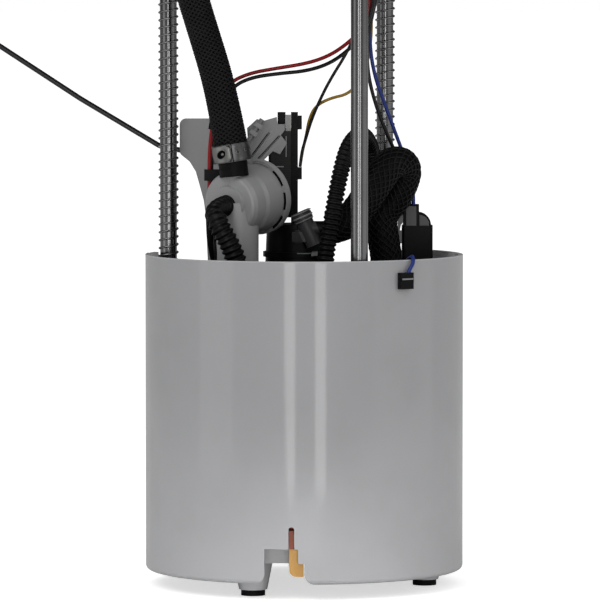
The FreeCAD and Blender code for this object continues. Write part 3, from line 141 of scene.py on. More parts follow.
class Finish(Board):
    # A material: helpers for patterns in metres on Object coordinates.
    def __init__(self, name):
        self.material = bpy.data.materials.new(name)
        self.material.use_nodes = True
        super().__init__(self.material.node_tree)
        self.shader = self.tree.nodes["Principled BSDF"]
        self.place = self.add("ShaderNodeTexCoord", output="Object")

    def noise(self, size, detail=3.0, stretch=(1, 1, 1), rough=0.5):
        scale = [s / size for s in stretch]
        scaled = self.add("ShaderNodeMapping", {}, {"Vector": self.place, "Scale": scale})
        values = {"Vector": scaled, "Scale": 1.0, "Detail": detail, "Roughness": rough}
        return self.add("ShaderNodeTexNoise", {}, values)

    def axis(self, letter):
        return self.add("ShaderNodeSeparateXYZ", {}, [self.place], letter)

    def between(self, value, low, high, newLow=0.0, newHigh=1.0):
        settings = {"interpolation_type": "SMOOTHSTEP"}
        return self.add("ShaderNodeMapRange", settings, [value, low, high, newLow, newHigh])

    def mixed(self, mask, first, second):
        return self.add("ShaderNodeMix", {"data_type": "RGBA"}, {0: mask, 6: first, 7: second}, 2)

    def bump(self, height, depth, strength=1.0):
        values = {"Strength": strength, "Distance": depth, "Height": height}
        return self.add("ShaderNodeBump", {}, values)

    def done(self, colour, roughness, normal=None, **fixed):
        self.feed(self.shader.inputs["Base Color"], colour)
        self.feed(self.shader.inputs["Roughness"], roughness)
        if normal:
            self.feed(self.shader.inputs["Normal"], normal)
        for key, value in fixed.items():
            self.shader.inputs[key].default_value = value
        return self.material


def rgb(red, green, blue):
    return (red, green, blue, 1.0)


def scaledColour(colour, share):
    return rgb(*[c * share for c in colour[:3]])


# Finishes.

naturalLook = {
    "colour": rgb(0.335, 0.335, 0.345), "stain": rgb(0.295, 0.295, 0.30), "roughness": 0.5, "coat": 0.6,
}


def naturalPlastic(name, colour, stain, roughness, drawn=1.0, coat=0.0):
    # Undyed or dyed moulded plastic, a little uneven, with faint lines along the way it was drawn.
    m = Finish(name)
    cloud = m.between(m.noise(0.045, 4.0), 0.42, 0.72)
    flecks = m.noise(0.0012, 2.0)
    draw = m.noise(0.0016, 2.0, (1, 1, 0.03))
    tone = m.mixed(cloud * 0.5 + flecks * 0.12, colour, stain)
    rough = roughness + (draw - 0.5) * 0.10 + (cloud - 0.5) * 0.06
    height = flecks * 0.35 + draw * drawn
    coated = {"Specular IOR Level": 0.35, "Coat Weight": coat, "Coat Roughness": 0.09}
    return m.done(tone, rough, m.bump(height, 0.00005, 0.3), **coated)


def blackPlastic(name, colour, roughness, grain=0.0006, dust=0.03, shine=0.08):
    # Dyed moulded plastic with a fine spark-eroded grain and a little pale dust.
    m = Finish(name)
    cloud = m.between(m.noise(0.022, 4.0), 0.45, 0.75)
    grit = m.noise(grain, 3.0, rough=0.6)
    tone = m.mixed(cloud * dust + grit * 0.02, colour, rgb(0.09, 0.09, 0.095))
    rough = roughness + (grit - 0.5) * 0.22 + cloud * 0.10
    return m.done(tone, rough, m.bump(grit, 0.00005, 0.5), **{"Specular IOR Level": shine})


def rubber(name, colour, roughness, shine=0.08):
    m = Finish(name)
    cloud = m.between(m.noise(0.012, 4.0), 0.4, 0.75)
    grit = m.noise(0.0009, 4.0, rough=0.65)
    tone = m.mixed(cloud * 0.05 + grit * 0.02, colour, rgb(0.06, 0.06, 0.06))
    rough = roughness + (grit - 0.5) * 0.2
    return m.done(tone, rough, m.bump(grit, 0.00008, 0.6), **{"Specular IOR Level": shine})


def groundSteel(name, colour, roughness, size, stretch):
    # Steel with fine working marks: the stretch runs along the marks.
    m = Finish(name)
    marks = m.noise(size, 4.0, stretch, 0.65)
    cloud = m.between(m.noise(0.016, 3.0), 0.4, 0.7)
    tone = m.mixed(marks * 0.5 + cloud * 0.25, colour, scaledColour(colour, 0.72))
    rough = roughness + (marks - 0.5) * 0.16 + cloud * 0.05
    return m.done(tone, rough, m.bump(marks, 0.00002, 0.4), Metallic=1.0)


def insulation(name, colour):
    m = Finish(name)
    scuff = m.between(m.noise(0.006, 4.0), 0.5, 0.8)
    fine = m.noise(0.0007, 2.0)
    tone = m.mixed(scuff * 0.35 + fine * 0.08, colour, scaledColour(colour, 0.6))
    rough = 0.34 + scuff * 0.16
    return m.done(tone, rough, m.bump(fine, 0.00003, 0.4), **{"Specular IOR Level": 0.25})


def yarn(name, colour, highlight):
    # Twisted polyester yarn: thin threads that cross each strand.
    m = Finish(name)
    threads = m.noise(0.00045, 2.0, (1, 1, 0.35))
    cloud = m.between(m.noise(0.01, 3.0), 0.42, 0.7)
    tone = m.mixed(threads * 0.55 + cloud * 0.25, colour, highlight)
    rough = 0.5 + (threads - 0.5) * 0.3
    return m.done(tone, rough, m.bump(threads, 0.00012, 0.8), **{"Specular IOR Level": 0.15})


def cloth(name, colour, size):
    # A plain woven or felted medium on Object coordinates.
    m = Finish(name)
    across = (m.axis("X") * (fullTurn / size)).sine()
    along = (m.axis("Y") * (fullTurn / size)).sine()
    weave = (across * along) * 0.5 + 0.5
    fibres = m.noise(size * 0.6, 3.0)
    tone = m.mixed(weave * 0.5 + fibres * 0.3, scaledColour(colour, 0.55), colour)
    return m.done(tone, 0.8 + (fibres - 0.5) * 0.2, m.bump(weave, 0.00015, 0.7))


cardLook = {"row": 0.0011, "rowsTop": (0.199, 0.2), "bareFrom": (0.2131, 0.2135)}


def printedCard(name, row, rowsTop, bareFrom):
    # Card under dark glaze, with fine resistor rows and a pale bare strip at its top.
    m = Finish(name)
    high = m.axis("Z")
    rows = m.between((high * (fullTurn / row)).sine(), 0.2, 0.5) * (1 - m.between(high, *rowsTop))
    lighter = m.between(high, *bareFrom)
    fine = m.noise(0.0008, 3.0)
    glaze = m.mixed(rows * 0.5, rgb(0.006, 0.006, 0.006), rgb(0.03, 0.028, 0.025))
    tone = m.mixed(lighter, glaze, rgb(0.42, 0.42, 0.41))
    rough = 0.45 + (fine - 0.5) * 0.2 + rows * 0.1
    return m.done(tone, rough, m.bump(fine, 0.00002, 0.4), **{"Specular IOR Level": 0.2})


def foam(name, cellsPerMetre):
    # Closed-cell rubber float with a pitted skin.
    m = Finish(name)
    cells = m.add("ShaderNodeTexVoronoi", {}, {"Vector": m.place, "Scale": cellsPerMetre}, "Distance")
    cloud = m.between(m.noise(0.008, 3.0), 0.4, 0.7)
    tone = m.mixed(cells * 0.4 + cloud * 0.3, rgb(0.02, 0.02, 0.02), rgb(0.075, 0.07, 0.065))
    return m.done(tone, 0.62 + cells * 0.15, m.bump(cells, 0.0002, 0.7))


fittingLook = {
    "top": (-0.001857, 0.176365), "lean": (0.91355, 0.40674), "width": 0.0044, "root": 0.0003,
}


def fittingPlastic(name, top, lean, width, root):
    # Grey along the fitting's own tube and black on its root, told apart by the distance from its axis.
    m = Finish(name)
    grit = m.noise(0.0006, 3.0, rough=0.6)
    offAxis = (m.axis("X") - top[0]) * lean[0] + (m.axis("Z") - top[1]) * lean[1]
    aside = m.between(offAxis.maths("ABSOLUTE"), width, width + root)
    tone = m.mixed(aside, rgb(0.05, 0.05, 0.053), rgb(0.003, 0.003, 0.003))
    rough = 0.33 + (grit - 0.5) * 0.2
    return m.done(tone, rough, m.bump(grit, 0.00005, 0.5), **{"Specular IOR Level": 0.15})


def armSteel(name, bareFrom, lighterTo):
    # Dark drawn wire, lighter towards its end in the holder.
    m = Finish(name)
    marks = m.noise(0.0009, 3.0)
    lighter = m.between(m.axis("X"), bareFrom, lighterTo)
    tone = m.mixed(lighter, rgb(0.008, 0.008, 0.009), rgb(0.2, 0.2, 0.2))
    rough = 0.3 + (marks - 0.5) * 0.2
    return m.done(tone, rough, m.bump(marks, 0.00003, 0.4), **{"Specular IOR Level": 0.4})


finishes = {
    "natural_plastic": naturalPlastic("natural_pot_plastic", **naturalLook),
    "black_plastic": blackPlastic("black_moulding", rgb(0.0025, 0.0025, 0.003), 0.36),
    "black_rubber": rubber("black_rubber", rgb(0.0025, 0.0025, 0.0025), 0.5),
    "braid": yarn("braid_yarn", rgb(0.0015, 0.0015, 0.002), rgb(0.013, 0.013, 0.014)),
    "steel": groundSteel("ground_steel", rgb(0.175, 0.175, 0.178), 0.13, 0.0007, (0.02, 0.02, 1)),
    "wire_steel": blackPlastic("dark_drawn_wire", rgb(0.008, 0.008, 0.009), 0.25, 0.0009, shine=0.5),
    "brass": groundSteel("plated_pins", rgb(0.72, 0.6, 0.32), 0.25, 0.0008, (1, 1, 0.05)),
    "grey_plastic": blackPlastic("grey_moulding", rgb(0.10, 0.10, 0.105), 0.4),
    "pale_plastic": naturalPlastic(
        "pale_moulding", rgb(0.40, 0.40, 0.39), rgb(0.33, 0.33, 0.32), 0.42, 0.0),
    "amber_plastic": naturalPlastic(
        "amber_moulding", rgb(0.42, 0.23, 0.055), rgb(0.33, 0.16, 0.035), 0.3, 0.0),
    "red_plastic": naturalPlastic(
        "red_brown_moulding", rgb(0.28, 0.07, 0.04), rgb(0.2, 0.05, 0.03), 0.4, 0.0),
    "ceramic": printedCard("printed_card", **cardLook),
    "filter_media": cloth("filter_cloth", rgb(0.62, 0.6, 0.52), 0.0011),
    "carbon": blackPlastic("pressed_carbon", rgb(0.03, 0.03, 0.03), 0.6),
    "red_lead": insulation("red_insulation", rgb(0.26, 0.006, 0.008)),
    "black_lead": insulation("black_insulation", rgb(0.004, 0.004, 0.0045)),
    "yellow_lead": insulation("yellow_insulation", rgb(0.42, 0.25, 0.025)),
    "blue_lead": insulation("blue_insulation", rgb(0.012, 0.03, 0.19)),
}
whiteMoulding = naturalPlastic(
    "white_moulding", rgb(0.285, 0.285, 0.29), rgb(0.25, 0.25, 0.255), 0.4, 0.0)
springSteel = groundSteel("spring_steel", rgb(0.22, 0.22, 0.22), 0.24, 0.0006, (1, 1, 1))
bandSteel = groundSteel("band_steel", rgb(0.11, 0.11, 0.112), 0.3, 0.0009, (1, 1, 0.06))
corrugated = rubber("corrugated_hose", rgb(0.002, 0.002, 0.0022), 0.36, 0.14)
plateSteel = groundSteel("tooth_plate_steel", rgb(0.21, 0.21, 0.2), 0.3, 0.0009, (1, 1, 0.06))
latchGrey = blackPlastic("pale_grey_moulding", rgb(0.24, 0.24, 0.24), 0.4)
flangeBlack = blackPlastic("flange_moulding", rgb(0.011, 0.011, 0.012), 0.34, shine=0.5)
insertGrey = blackPlastic("insert_moulding", rgb(0.15, 0.15, 0.152), 0.45)
whiteLine = naturalPlastic("pale_trim", rgb(0.3, 0.3, 0.3), rgb(0.25, 0.25, 0.25), 0.4, 0.0)
# Paler than the pot: a painted highlight along the rim's edge.
rimHighlightWhite = naturalPlastic("rim_plastic", rgb(0.44, 0.44, 0.45), rgb(0.4, 0.4, 0.41), 0.4, 0.0)
# Near-black standing for shade: painted shade in the clamps' slits, windows and dimple holes, the cover's
# slots and the holder's grooves.
shadowBlack = rubber("groove_black", rgb(0.0015, 0.0015, 0.0015), 0.7, 0.02)
print("finishes made")

slotOf = {part["node"]: part["material_slot"] for part in frame["record"]["subparts"]}
special = {
    "regulator_manifold": whiteMoulding,
    "regulator_cover": whiteMoulding,
    "sender_bracket": whiteMoulding,
    "arm_holder": whiteMoulding,
    "float_body": foam("float_foam", cellsPerMetre=900.0),
    "outlet_fitting": fittingPlastic("fitting_moulding", **fittingLook),
    "arm_wire": armSteel("arm_steel", bareFrom=-0.034, lighterTo=-0.030),
    "connector_latch": latchGrey,
    "connector_insert": insertGrey,
    "flange_plate": flangeBlack,
    "socket_housing": flangeBlack,
    "vent_valve": flangeBlack,
    "outlet_pipe": flangeBlack,
}
for nodeName, node in frame["nodes"].items():
    wanted = special.get(nodeName, finishes[slotOf[nodeName]])
    if not node.data.materials:
        node.data.materials.append(wanted)
    for materialSlot in node.material_slots:
        materialSlot.material = wanted
print("finishes given to the solids")


# Helpers for meshes and paths.

def metres(points):
    return [Vector(p) * mm for p in points]


def linked(name, data):
    obj = bpy.data.objects.new(name, data)
    scene.collection.objects.link(obj)
    return obj


def keptMesh(name, body, material, smooth=False):
    # A bmesh becomes an object of one material.
    mesh = bpy.data.meshes.new(name)
    body.to_mesh(mesh)
    body.free()
    for polygon in mesh.polygons:
        polygon.use_smooth = smooth
    mesh.materials.append(material)
    return linked(name, mesh)


def nurbs(name, points, radii=None):
    # A smooth spline with the route's points as control points.
    curve = bpy.data.curves.new(name, "CURVE")
    curve.dimensions = "3D"
    curve.resolution_u = 10
    curve.twist_mode = "MINIMUM"
    spline = curve.splines.new("NURBS")
    spline.points.add(len(points) - 1)
    for i, p in enumerate(metres(points)):
        spline.points[i].co = (*p, 1.0)
        spline.points[i].radius = radii[i] * mm if radii else 1.0
    spline.order_u = 3
    spline.use_endpoint_u = True
    return linked(name, curve)


def frozen(obj, name):
    # The evaluated shape as a plain mesh object; the source object goes.
    bpy.context.view_layer.update()
    graph = bpy.context.evaluated_depsgraph_get()
    mesh = bpy.data.meshes.new_from_object(obj.evaluated_get(graph), depsgraph=graph)
    bpy.data.objects.remove(obj)
    return linked(name, mesh)


def meshPiece(name, vertices, faces, material, smooth=True):
    mesh = bpy.data.meshes.new(name)
    mesh.from_pydata([tuple(v) for v in vertices], [], faces)
    mesh.validate()
    for polygon in mesh.polygons:
        polygon.use_smooth = smooth
    mesh.materials.append(material)
    return linked(name, mesh)


def joined(name, pieces):
    # Several mesh objects become one.
    whole = bmesh.new()
    materials = []
    for piece in pieces:
        start = len(whole.faces)
        whole.from_mesh(piece.data)
        whole.faces.ensure_lookup_table()
        for face in whole.faces[start:]:
            material = piece.data.materials[face.material_index] if piece.data.materials else None
            if material not in materials:
                materials.append(material)
            face.material_index = materials.index(material)
        bpy.data.objects.remove(piece)
    mesh = bpy.data.meshes.new(name)
    whole.to_mesh(mesh)
    whole.free()
    for material in materials:
        mesh.materials.append(material)
    return linked(name, mesh)


def wire(name, points, radius, material):
    # A round lead along a smooth spline, closed at both ends.
    obj = nurbs(name + "_line", points)
    obj.data.bevel_depth = radius * mm
    obj.data.bevel_resolution = 3
    obj.data.use_fill_caps = True
    piece = frozen(obj, name)
    piece.data.materials.clear()
    piece.data.materials.append(material)
    for polygon in piece.data.polygons:
        polygon.use_smooth = len(polygon.vertices) <= 4
    return piece


def modifierTree(name, sizes):
    # A Geometry Nodes tree with a geometry in and out and one named input for each size.
    tree = bpy.data.node_groups.new(name, "GeometryNodeTree")
    tree.interface.new_socket("Geometry", in_out="INPUT", socket_type="NodeSocketGeometry")
    for label, value in sizes.items():
        kind = "NodeSocketInt" if isinstance(value, int) else "NodeSocketFloat"
        socket = tree.interface.new_socket(label, in_out="INPUT", socket_type=kind)
        socket.default_value = value
    tree.interface.new_socket("Material", in_out="INPUT", socket_type="NodeSocketMaterial")
    tree.interface.new_socket("Geometry", in_out="OUTPUT", socket_type="NodeSocketGeometry")
    board = Board(tree)
    source = tree.nodes.new("NodeGroupInput")
    board.given = {s.name: Wire(board, s) for s in source.outputs if s.name}
    return board


def finishTree(board, shape):
    smooth = board.add("GeometryNodeSetShadeSmooth", {}, {"Geometry": shape})
    real = board.add("GeometryNodeRealizeInstances", {}, {"Geometry": smooth})
    values = {"Geometry": real, "Material": board.given["Material"]}
    painted = board.add("GeometryNodeSetMaterial", {}, values)
    sink = board.tree.nodes.new("NodeGroupOutput")
    board.feed(sink.inputs["Geometry"], painted)
    return board.tree


def shaped(host, tree, name, material, **sizes):
    # Runs a tree on a host object and keeps the result as a plain mesh.
    modifier = host.modifiers.new("shape", "NODES")
    modifier.node_group = tree
    labels = {key.lower(): value for key, value in sizes.items()}
    for item in tree.interface.items_tree:
        if item.in_out != "INPUT" or item.socket_type == "NodeSocketGeometry":
            continue
        key = item.name.lower().replace(" ", "")
        if item.name == "Material":
            modifier[item.identifier] = material
        elif key in labels:
            modifier[item.identifier] = labels[key]
    return frozen(host, name)


def windTree():
    # Strands wound round a path, one way or both ways, passing over and under each other.
    sizes = {"Strands": 24, "Turns": 4.0, "Strand radius": 0.0004, "Weave depth": 0.0,
             "Both ways": 1, "Steps": 200, "Sides": 6}
    b = modifierTree("wound_strands", sizes)
    g = b.given
    unit = b.add("GeometryNodeCurvePrimitiveLine", {}, {"End": (1.0, 0.0, 0.0)})
    stepped = b.add("GeometryNodeResampleCurve", {}, {"Curve": unit, "Count": g["Steps"]})
    values = {"Geometry": stepped, "Amount": g["Strands"]}
    copies = b.add("GeometryNodeDuplicateElements", {"domain": "SPLINE"}, values)
    index = b.sibling(copies, "Duplicate Index")
    along = b.add("GeometryNodeSplineParameter", {}, {}, "Factor")
    way = 1 - index.maths("MODULO", 2.0) * g["Both ways"] * 2
    turn = index / g["Strands"] + way * g["Turns"] * along
    angle = turn * fullTurn
    ripple = (g["Strands"] * g["Turns"] * along * math.pi).sine() * way * g["Weave depth"]
    radiusHere = b.add("GeometryNodeInputRadius")
    settings = {"mode": "FACTOR", "use_all_curves": True}
    values = {"Curves": g["Geometry"], "Value": radiusHere, "Factor": along}
    sample = b.add("GeometryNodeSampleCurve", settings, values)
    centre, ahead, normal = [b.sibling(sample, n) for n in ("Position", "Tangent", "Normal")]
    side = b.add("ShaderNodeVectorMath", {"operation": "CROSS_PRODUCT"}, [ahead, normal])
    reach = sample + ripple
    scale = {"operation": "SCALE"}
    first = b.add("ShaderNodeVectorMath", scale, {"Vector": normal, "Scale": angle.cosine() * reach})
    second = b.add("ShaderNodeVectorMath", scale, {"Vector": side, "Scale": angle.sine() * reach})
    spread = b.add("ShaderNodeVectorMath", {"operation": "ADD"}, [first, second])
    spot = b.add("ShaderNodeVectorMath", {"operation": "ADD"}, [centre, spread])
    placed = b.add("GeometryNodeSetPosition", {}, {"Geometry": copies, "Position": spot})
    values = {"Resolution": g["Sides"], "Radius": g["Strand radius"]}
    section = b.add("GeometryNodeCurvePrimitiveCircle", {}, values)
    values = {"Curve": placed, "Profile Curve": section, "Fill Caps": True}
    return finishTree(b, b.add("GeometryNodeCurveToMesh", {}, values))


def ribTree():
    # A corrugated or plain tube on a path, whose radius is the path's own.
    sizes = {"Pitch": 0.0025, "Rib depth": 0.0006, "Sharpness": 1.0, "Step": 0.0004, "Sides": 32}
    b = modifierTree("ribbed_tube", sizes)
    g = b.given
    values = {"Curve": g["Geometry"], "Length": g["Step"]}
    stepped = b.add("GeometryNodeResampleCurve", {"mode": "LENGTH"}, values)
    along = b.add("GeometryNodeSplineParameter", {}, {}, "Length")
    wave = (along / g["Pitch"] * fullTurn).cosine() * 0.5 + 0.5
    crest = wave.clamped() ** g["Sharpness"]
    radius = b.add("GeometryNodeInputRadius") - (1 - crest) * g["Rib depth"]
    section = b.add("GeometryNodeCurvePrimitiveCircle", {}, {"Resolution": g["Sides"], "Radius": 1.0})
    values = {"Curve": stepped, "Profile Curve": section, "Scale": radius, "Fill Caps": True}
    return finishTree(b, b.add("GeometryNodeCurveToMesh", {}, values))


strandsTree = windTree()
tubeTree = ribTree()


def lathe(profile, sides=48):
    # Rings of points for a turned shape about Z, from (radius, height) pairs in millimetres.
    vertices, faces = [], []
    for r, z in profile:
        for i in range(sides):
            a = fullTurn * i / sides
            vertices.append(Vector((r * math.cos(a), r * math.sin(a), z)) * mm)
    for j in range(len(profile) - 1):
        for i in range(sides):
            k = (i + 1) % sides
            faces.append((j * sides + i, j * sides + k, (j + 1) * sides + k, (j + 1) * sides + i))
    faces.append(tuple(reversed(range(sides))))
    last = (len(profile) - 1) * sides
    faces.append(tuple(last + i for i in range(sides)))
    return vertices, faces


def aimedMatrix(base, direction):
    # Lays local +Z on a direction, at a place in millimetres.
    turn = Vector((0, 0, 1)).rotation_difference(Vector(direction))
    return Matrix.Translation(Vector(base) * mm) @ turn.to_matrix().to_4x4()


def turnedPiece(name, matrix, shape, material):
    vertices, faces = shape
    return meshPiece(name, [matrix @ v for v in vertices], faces, material)


# Camera.

cameraLook = {"place": (-0.0020, -2.490, 0.2807), "target": (-0.0020, 0.0, 0.1340), "lens": 316.7}


def aimedObject(name, data, place, target):
    obj = linked(name, data)
    obj.location = place
    aim = Vector(target) - Vector(place)
    obj.rotation_euler = aim.to_track_quat("-Z", "Y").to_euler()
    return obj


def makeCamera(place, target, lens):
    data = bpy.data.cameras.new("view")
    data.lens = lens
    data.sensor_width = 36.0
    data.clip_end = 100.0
    scene.camera = aimedObject("view", data, place, target)


makeCamera(**cameraLook)

# Braided supply hose.

hoseRoute = [
    (-33.21, -29.5, 200.8), (-34.11, -29.5, 206.5), (-36.09, -29.5, 219.0), (-40.6, -29.8, 240.0),
    (-47.0, -30.4, 261.0), (-53.2, -31.0, 281.0), (-57.0, -31.0, 301.0), (-57.0, -31.0, 320.0),
]
hoseLook = {
    "radii": [7.3, 7.35, 7.0, 6.7, 6.6, 6.6, 6.6, 6.9], "under": 0.35, "coreStep": 2.0,
    "strands": 32, "turns": 3.6, "strandRadius": 0.62, "weave": 0.26, "steps": 220,
}
cuffRoute = [(-32.7, -29.5, 193.6), (-33.0, -29.5, 197.0), (-33.6, -29.5, 202.0)]
cuffLook = {"radii": [6.85, 6.8, 6.8], "pitch": 3.1, "depth": 0.12, "step": 0.5}


def coveredHose(name, route, radii, under, coreStep, strands, turns, strandRadius, weave, steps):
    # Rubber core with two sets of strands that cross over and under each other.
    line = nurbs(name + "_core_line", route, [r - under for r in radii])
    core = shaped(line, tubeTree, name + "_core", finishes["black_rubber"],
                  ribDepth=0.0, step=coreStep * mm, sides=40)
    line = nurbs(name + "_net_line", route, radii)
    net = shaped(line, strandsTree, name + "_net", finishes["braid"], strands=strands, turns=turns,
                 strandRadius=strandRadius * mm, weaveDepth=weave * mm, bothWays=1, steps=steps, sides=6)
    return joined(name, [core, net])


def makeSupplyHose(look):
    braided = coveredHose("braided_hose", hoseRoute, **look)
    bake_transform(braided)
    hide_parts("hose_sleeve", "supply_hose")


def makeCuff(radii, pitch, depth, step):
    # The rubber cuff between the hose and the bell.
    cuff = shaped(nurbs("cuff_line", cuffRoute, radii), tubeTree, "hose_cuff", finishes["black_rubber"],
                  pitch=pitch * mm, ribDepth=depth * mm, step=step * mm, sides=48)
    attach(cuff, "reservoir")


makeSupplyHose(hoseLook)
makeCuff(**cuffLook)
print("braided hose made")

# Springs.

springLook = {
    "gauge": 0.475, "outer": 4.85, "pitch": 3.73, "low": 115.0, "high": 327.0, "travel": 60.0,
    "stepsPerTurn": 22,
}
springPlaces = {"left": (-64.227, 7.806), "rear": (38.874, 51.719)}


def makeSprings(gauge, outer, pitch, low, high, travel, stepsPerTurn):
    # Open coils on the left and rear rods.
    turns = (high - low) / pitch
    heights = (low + gauge, (low + high) / 2, high - gauge)
    for label, (x, y) in springPlaces.items():
        axis = [(x, y, z) for z in heights]
        line = nurbs(label + "_spring_line", axis, [outer - gauge] * 3)
        spring = shaped(line, strandsTree, label + "_spring", springSteel, strands=1, turns=turns,
                        strandRadius=gauge * mm, bothWays=0, steps=int(turns * stepsPerTurn), sides=8)
        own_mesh(spring)
        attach(spring, "reservoir")
        if label == "left":
            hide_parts("rod_springs")


makeSprings(**springLook)
print("springs made")

# Corrugated tubes.

jetRoute = [
    (-36.07, -31.38, 179.97), (-42.18, -40.3, 178.52), (-40.0, -46.3, 172.0), (-34.6, -46.3, 163.0),
    (-30.4, -45.0, 152.0), (-27.5, -43.5, 130.0), (-25.0, -45.0, 108.0), (-20.0, -50.0, 88.0),
    (-12.0, -58.0, 72.0), (-6.0, -64.0, 62.0), (-6.0, -65.5, 50.0), (-6.0, -65.5, 36.5),
]
loopRoute = [
    (36.5, 22.5, 128.1), (36.5, 22.5, 156.0), (35.5, 24.0, 180.0), (33.0, 21.0, 201.0), (30.0, 9.0, 210.0),
    (26.0, -7.0, 213.0), (20.5, -19.0, 207.5), (16.5, -26.0, 194.0), (12.5, -29.0, 172.0),
    (9.0, -30.0, 148.0), (8.8, -30.5, 110.0), (8.8, -30.0, 72.0), (6.0, -28.5, 44.0), (-6.0, -26.0, 36.0),
    (-20.9, -26.0, 36.0),
]
jetTube = {"outer": 5.0, "pitch": 2.65, "depth": 1.0}
loopTube = {"outer": 4.1, "pitch": 2.4, "depth": 0.85}


def makeRibTube(name, node, route, outer, pitch, depth):
    tube = shaped(nurbs(name + "_line", route, [outer] * len(route)), tubeTree, name, corrugated,
                  pitch=pitch * mm, ribDepth=depth * mm, sharpness=0.75, step=pitch * mm / 8, sides=36)
    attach(tube, "reservoir")
    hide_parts(node)


makeRibTube("jet_feed_tube", "jet_hose", jetRoute, **jetTube)
makeRibTube("filter_loop_tube", "loop_tube", loopRoute, **loopTube)
print("corrugated tubes made")

# Net-covered pressure hose.

pressRoute = [
    (9.9, -13.9, 168.6), (18.3, -13.9, 168.6), (26.6, -12.5, 178.8), (34.0, -9.5, 190.0),
    (41.5, -4.0, 200.5), (49.5, 6.5, 197.0), (44.0, 9.5, 182.0), (36.0, 8.6, 174.0), (37.4, 8.0, 163.0),
    (39.6, 8.0, 150.0), (38.5, 8.0, 128.1),
]
netLook = {
    "radii": [7.15] * len(pressRoute), "under": 0.2, "coreStep": 1.5,
    "strands": 28, "turns": 2.6, "strandRadius": 0.42, "weave": 0.12, "steps": 200,
}


def makePressureHose(look):
    hose = coveredHose("net_covered_hose", pressRoute, **look)
    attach(hose, "reservoir")
    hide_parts("pressure_hose")


makePressureHose(netLook)
print("net-covered hose made")

# Leads.

leadSizes = {"thick": 0.9, "thin": 0.75, "sleeve": 1.7, "thin sleeve": 1.275}
redRoute = [
    (20, 6, 337.6), (24, 7, 318), (29, 8, 297), (31.8, 8, 277), (28.5, 8, 263), (21.0, 6, 255.4),
    (12.0, 3, 249.3), (1.5, 0, 245.7), (-13.9, -2, 243.3), (-25.6, -4, 241.2), (-35.0, -6, 237.0),
    (-41.2, -8.5, 227.5), (-43.8, -11.6, 213), (-44.6, -13.2, 201), (-44.6, -13.2, 186),
    (-44.7, -12.4, 170), (-43.8, -8.0, 157), (-39.3, -1, 148), (-32.0, 4.2, 143), (-25.2, 6, 141),
]
blackRoute = [
    (23, 6, 337.6), (27, 4.5, 318), (31.5, 4.5, 297), (33.6, 5, 277), (29.5, 4.5, 262), (22.0, 3.2, 252.8),
    (12.5, 0.5, 245.8), (1.5, -2.5, 242.2), (-12.1, -4.5, 241.0), (-24.5, -6.5, 239.3),
    (-33.5, -8.5, 235.2), (-39.7, -9.4, 225), (-42.6, -9.9, 212), (-43.6, -10.6, 200),
    (-43.6, -10.6, 185), (-43.0, -11.2, 169), (-41.4, -11.4, 152), (-37.0, -7.5, 141),
    (-31.0, -3.8, 136), (-24.1, 0, 135),
]
sensorRoute = [
    (26, 6, 337.6), (30, 9.5, 318), (32, 11, 297), (29.5, 12, 272), (21.2, 13.5, 252), (12.2, 16.5, 237.7),
    (6.7, 19.5, 226.5), (3.2, 22, 217.8), (0.6, 24, 209), (-1.4, 25, 202.5), (-1.95, 25, 196.1),
]
yellowRoute = [
    (29, 6, 337.6), (34, 8, 318), (35.2, 11, 297), (31.6, 14, 276), (32.1, 16, 257), (28.8, 17, 240.5),
    (21.7, 18, 231), (12.2, 19.5, 228.9), (5.4, 21.8, 225.2), (2.4, 24.6, 219.0), (1.0, 26.2, 211.0),
    (-1.0, 26.8, 203), (-1.95, 26.8, 196.1),
]
blueRoute = [
    (32, 6, 337.6), (37, 7, 318), (36.8, 9, 298), (33.4, 10.5, 277), (30.6, 11.5, 261), (32.4, 13, 242),
    (39.5, 17, 222.6), (46.5, 20, 204), (52.0, 20.4, 190), (52.0, 20.4, 178.2),
]
secondBlackRoute = [
    (35, 5, 337.6), (37.5, 3.5, 318), (36.8, 5.5, 298), (34.2, 6.8, 277), (29.6, 8, 257), (30.0, 10, 240),
    (35.0, 14.5, 222), (42.3, 18.5, 205), (50.2, 20.4, 190), (50.2, 20.4, 178.2),
]
lowSleeve = [
    (-44.6, -13.2, 178.0), (-44.6, -12.9, 172.0), (-44.0, -10.5, 160.0), (-42.0, -6.0, 151.5),
]
highSleeve = [(-41.6, -9.3, 226.0), (-43.1, -11.0, 220.0), (-43.8, -11.8, 215.0)]
earthRoute = [
    (51.0, 15.9, 146.0), (51.0, 10.0, 147.0), (51.0, -2.0, 150.0), (50.5, -22.0, 152.5),
    (47.5, -42.0, 155.0), (49.4, -50.5, 156.9), (50.0, -56.0, 157.5), (50.4, -58.4, 154.6),
    (47.9, -59.6, 150.6), (46.56, -60.51, 145.2),
]


def makeLead(name, node, runs):
    # One or more runs of lead or sleeve, each with its route, size and finish.
    lead = joined(name, [wire(f"{name}_{i}", route, leadSizes[size], finishes[kind])
                         for i, (route, size, kind) in enumerate(runs)])
    if node == "earth_wire":
        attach(lead, "reservoir")
    else:
        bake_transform(lead)
    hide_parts(node)


makeLead("red_pump_lead", "red_lead", [(redRoute, "thick", "red_lead")])
makeLead("black_lead_set", "black_leads", [
    (blackRoute, "thick", "black_lead"), (secondBlackRoute, "thick", "black_lead"),
    (sensorRoute, "thin", "black_lead"), (lowSleeve, "sleeve", "black_rubber"),
    (highSleeve, "thin sleeve", "black_rubber"),
])
makeLead("yellow_sensor_lead", "yellow_lead", [(yellowRoute, "thin", "yellow_lead")])
makeLead("blue_socket_lead", "blue_lead", [(blueRoute, "thick", "blue_lead")])
makeLead("blue_earth_lead", "earth_wire", [(earthRoute, "thick", "blue_lead")])
print("leads made")

# Hose clamp.

